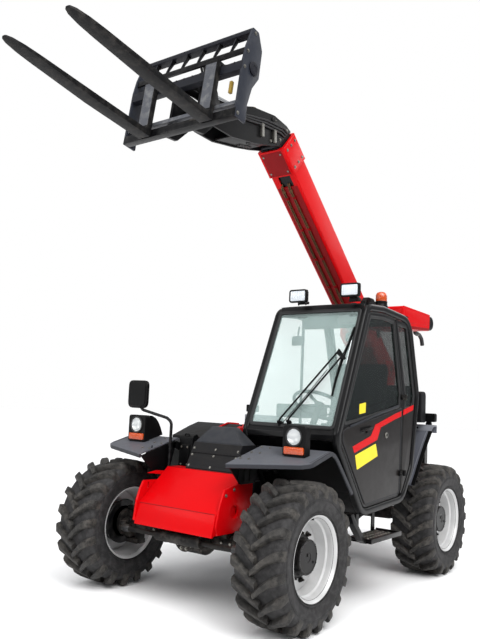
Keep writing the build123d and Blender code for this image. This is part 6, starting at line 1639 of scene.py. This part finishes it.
# ------------------------------------------------------------------ room: floor, light, camera
def room():
    bm = bmesh.new()
    vs = [bm.verts.new(p) for p in ((-40, -40, 0), (40, -40, 0), (40, 40, 0), (-40, 40, 0))]
    bm.faces.new(vs)
    ob = to_object("floor", bm)
    m = Mat("floor_pale")
    n = m.noise(1.2, 3, 0.5)
    m.set(Base_Color=m.mix(n, (0.955, 0.955, 0.955, 1), (0.97, 0.97, 0.97, 1)), Roughness=0.85, Specular_IOR_Level=0.2)
    ob.data.materials.append(m.m)
    w = bpy.data.worlds.new("studio")
    bpy.context.scene.world = w
    w.use_nodes = True
    t = w.node_tree
    t.nodes.clear()
    out = t.nodes.new("ShaderNodeOutputWorld")
    bg = t.nodes.new("ShaderNodeBackground")
    co = t.nodes.new("ShaderNodeTexCoord")
    sep = t.nodes.new("ShaderNodeSeparateXYZ")
    ramp = t.nodes.new("ShaderNodeValToRGB")
    t.links.new(co.outputs["Generated"], sep.inputs[0])
    t.links.new(sep.outputs["Z"], ramp.inputs["Fac"])
    ramp.color_ramp.elements[0].position = 0.0
    ramp.color_ramp.elements[0].color = (0.34, 0.35, 0.37, 1)
    ramp.color_ramp.elements[1].position = 0.7
    ramp.color_ramp.elements[1].color = (0.97, 0.98, 1.0, 1)
    t.links.new(ramp.outputs["Color"], bg.inputs["Color"])
    bg.inputs["Strength"].default_value = 0.62
    white = t.nodes.new("ShaderNodeBackground")
    white.inputs["Color"].default_value = (1.0, 1.0, 1.0, 1)
    white.inputs["Strength"].default_value = 1.0
    lp = t.nodes.new("ShaderNodeLightPath")
    mx = t.nodes.new("ShaderNodeMixShader")
    t.links.new(lp.outputs["Is Camera Ray"], mx.inputs[0])
    t.links.new(bg.outputs[0], mx.inputs[1])
    t.links.new(white.outputs[0], mx.inputs[2])
    t.links.new(mx.outputs[0], out.inputs[0])

    def area(name, loc, target, size, power, col=(1, 1, 1)):
        L = bpy.data.lights.new(name, "AREA")
        L.shape = "RECTANGLE"
        L.size, L.size_y = size
        L.energy = power
        L.color = col
        o = bpy.data.objects.new(name, L)
        bpy.context.scene.collection.objects.link(o)
        o.location = loc
        d = Vector(target) - Vector(loc)
        o.rotation_euler = d.to_track_quat("-Z", "Y").to_euler()

    area("key", (6.5, -3.5, 7.0), (0, 0, 1.3), (4.5, 4.5), 430)
    area("fill", (-5.0, -7.5, 4.5), (0, 0, 1.2), (5.0, 4.0), 200)
    area("rim", (2.0, 8.0, 6.0), (0, 0, 1.8), (6.0, 3.0), 140)
    sky = bpy.data.lights.new("sky", "SUN")
    sky.energy, sky.angle = 2.3, 1.0
    o = bpy.data.objects.new("sky", sky)
    bpy.context.scene.collection.objects.link(o)
    o.rotation_euler = (Vector((0, 0, 0)) - Vector((2.2, -2.6, 5.5))).to_track_quat("-Z", "Y").to_euler()

    cam = bpy.data.cameras.new("view")
    cam.sensor_fit = "HORIZONTAL"
    cam.sensor_width = 36.0
    cam.lens = 697.2 / 480 * 36
    cam.shift_x = -(242.7 - 240.0) / 480
    cam.shift_y = (326.0 - 319.5) / 480
    o = bpy.data.objects.new("view", cam)
    bpy.context.scene.collection.objects.link(o)
    r, u, f = Vector((0.800, 0.598, 0.044)), Vector((0.028, -0.111, 0.993)), Vector((-0.599, 0.794, 0.106))
    z = -f.normalized()
    x = u.cross(z).normalized()
    y = z.cross(x).normalized()
    m3 = Matrix((x, y, z)).transposed().to_4x4()
    m3.translation = Vector((3.051, -3.642 + SHIFT_Y / 1000, 1.342))
    o.matrix_world = m3
    bpy.context.scene.camera = o


room()
bpy.context.scene.view_settings.view_transform = "Standard"
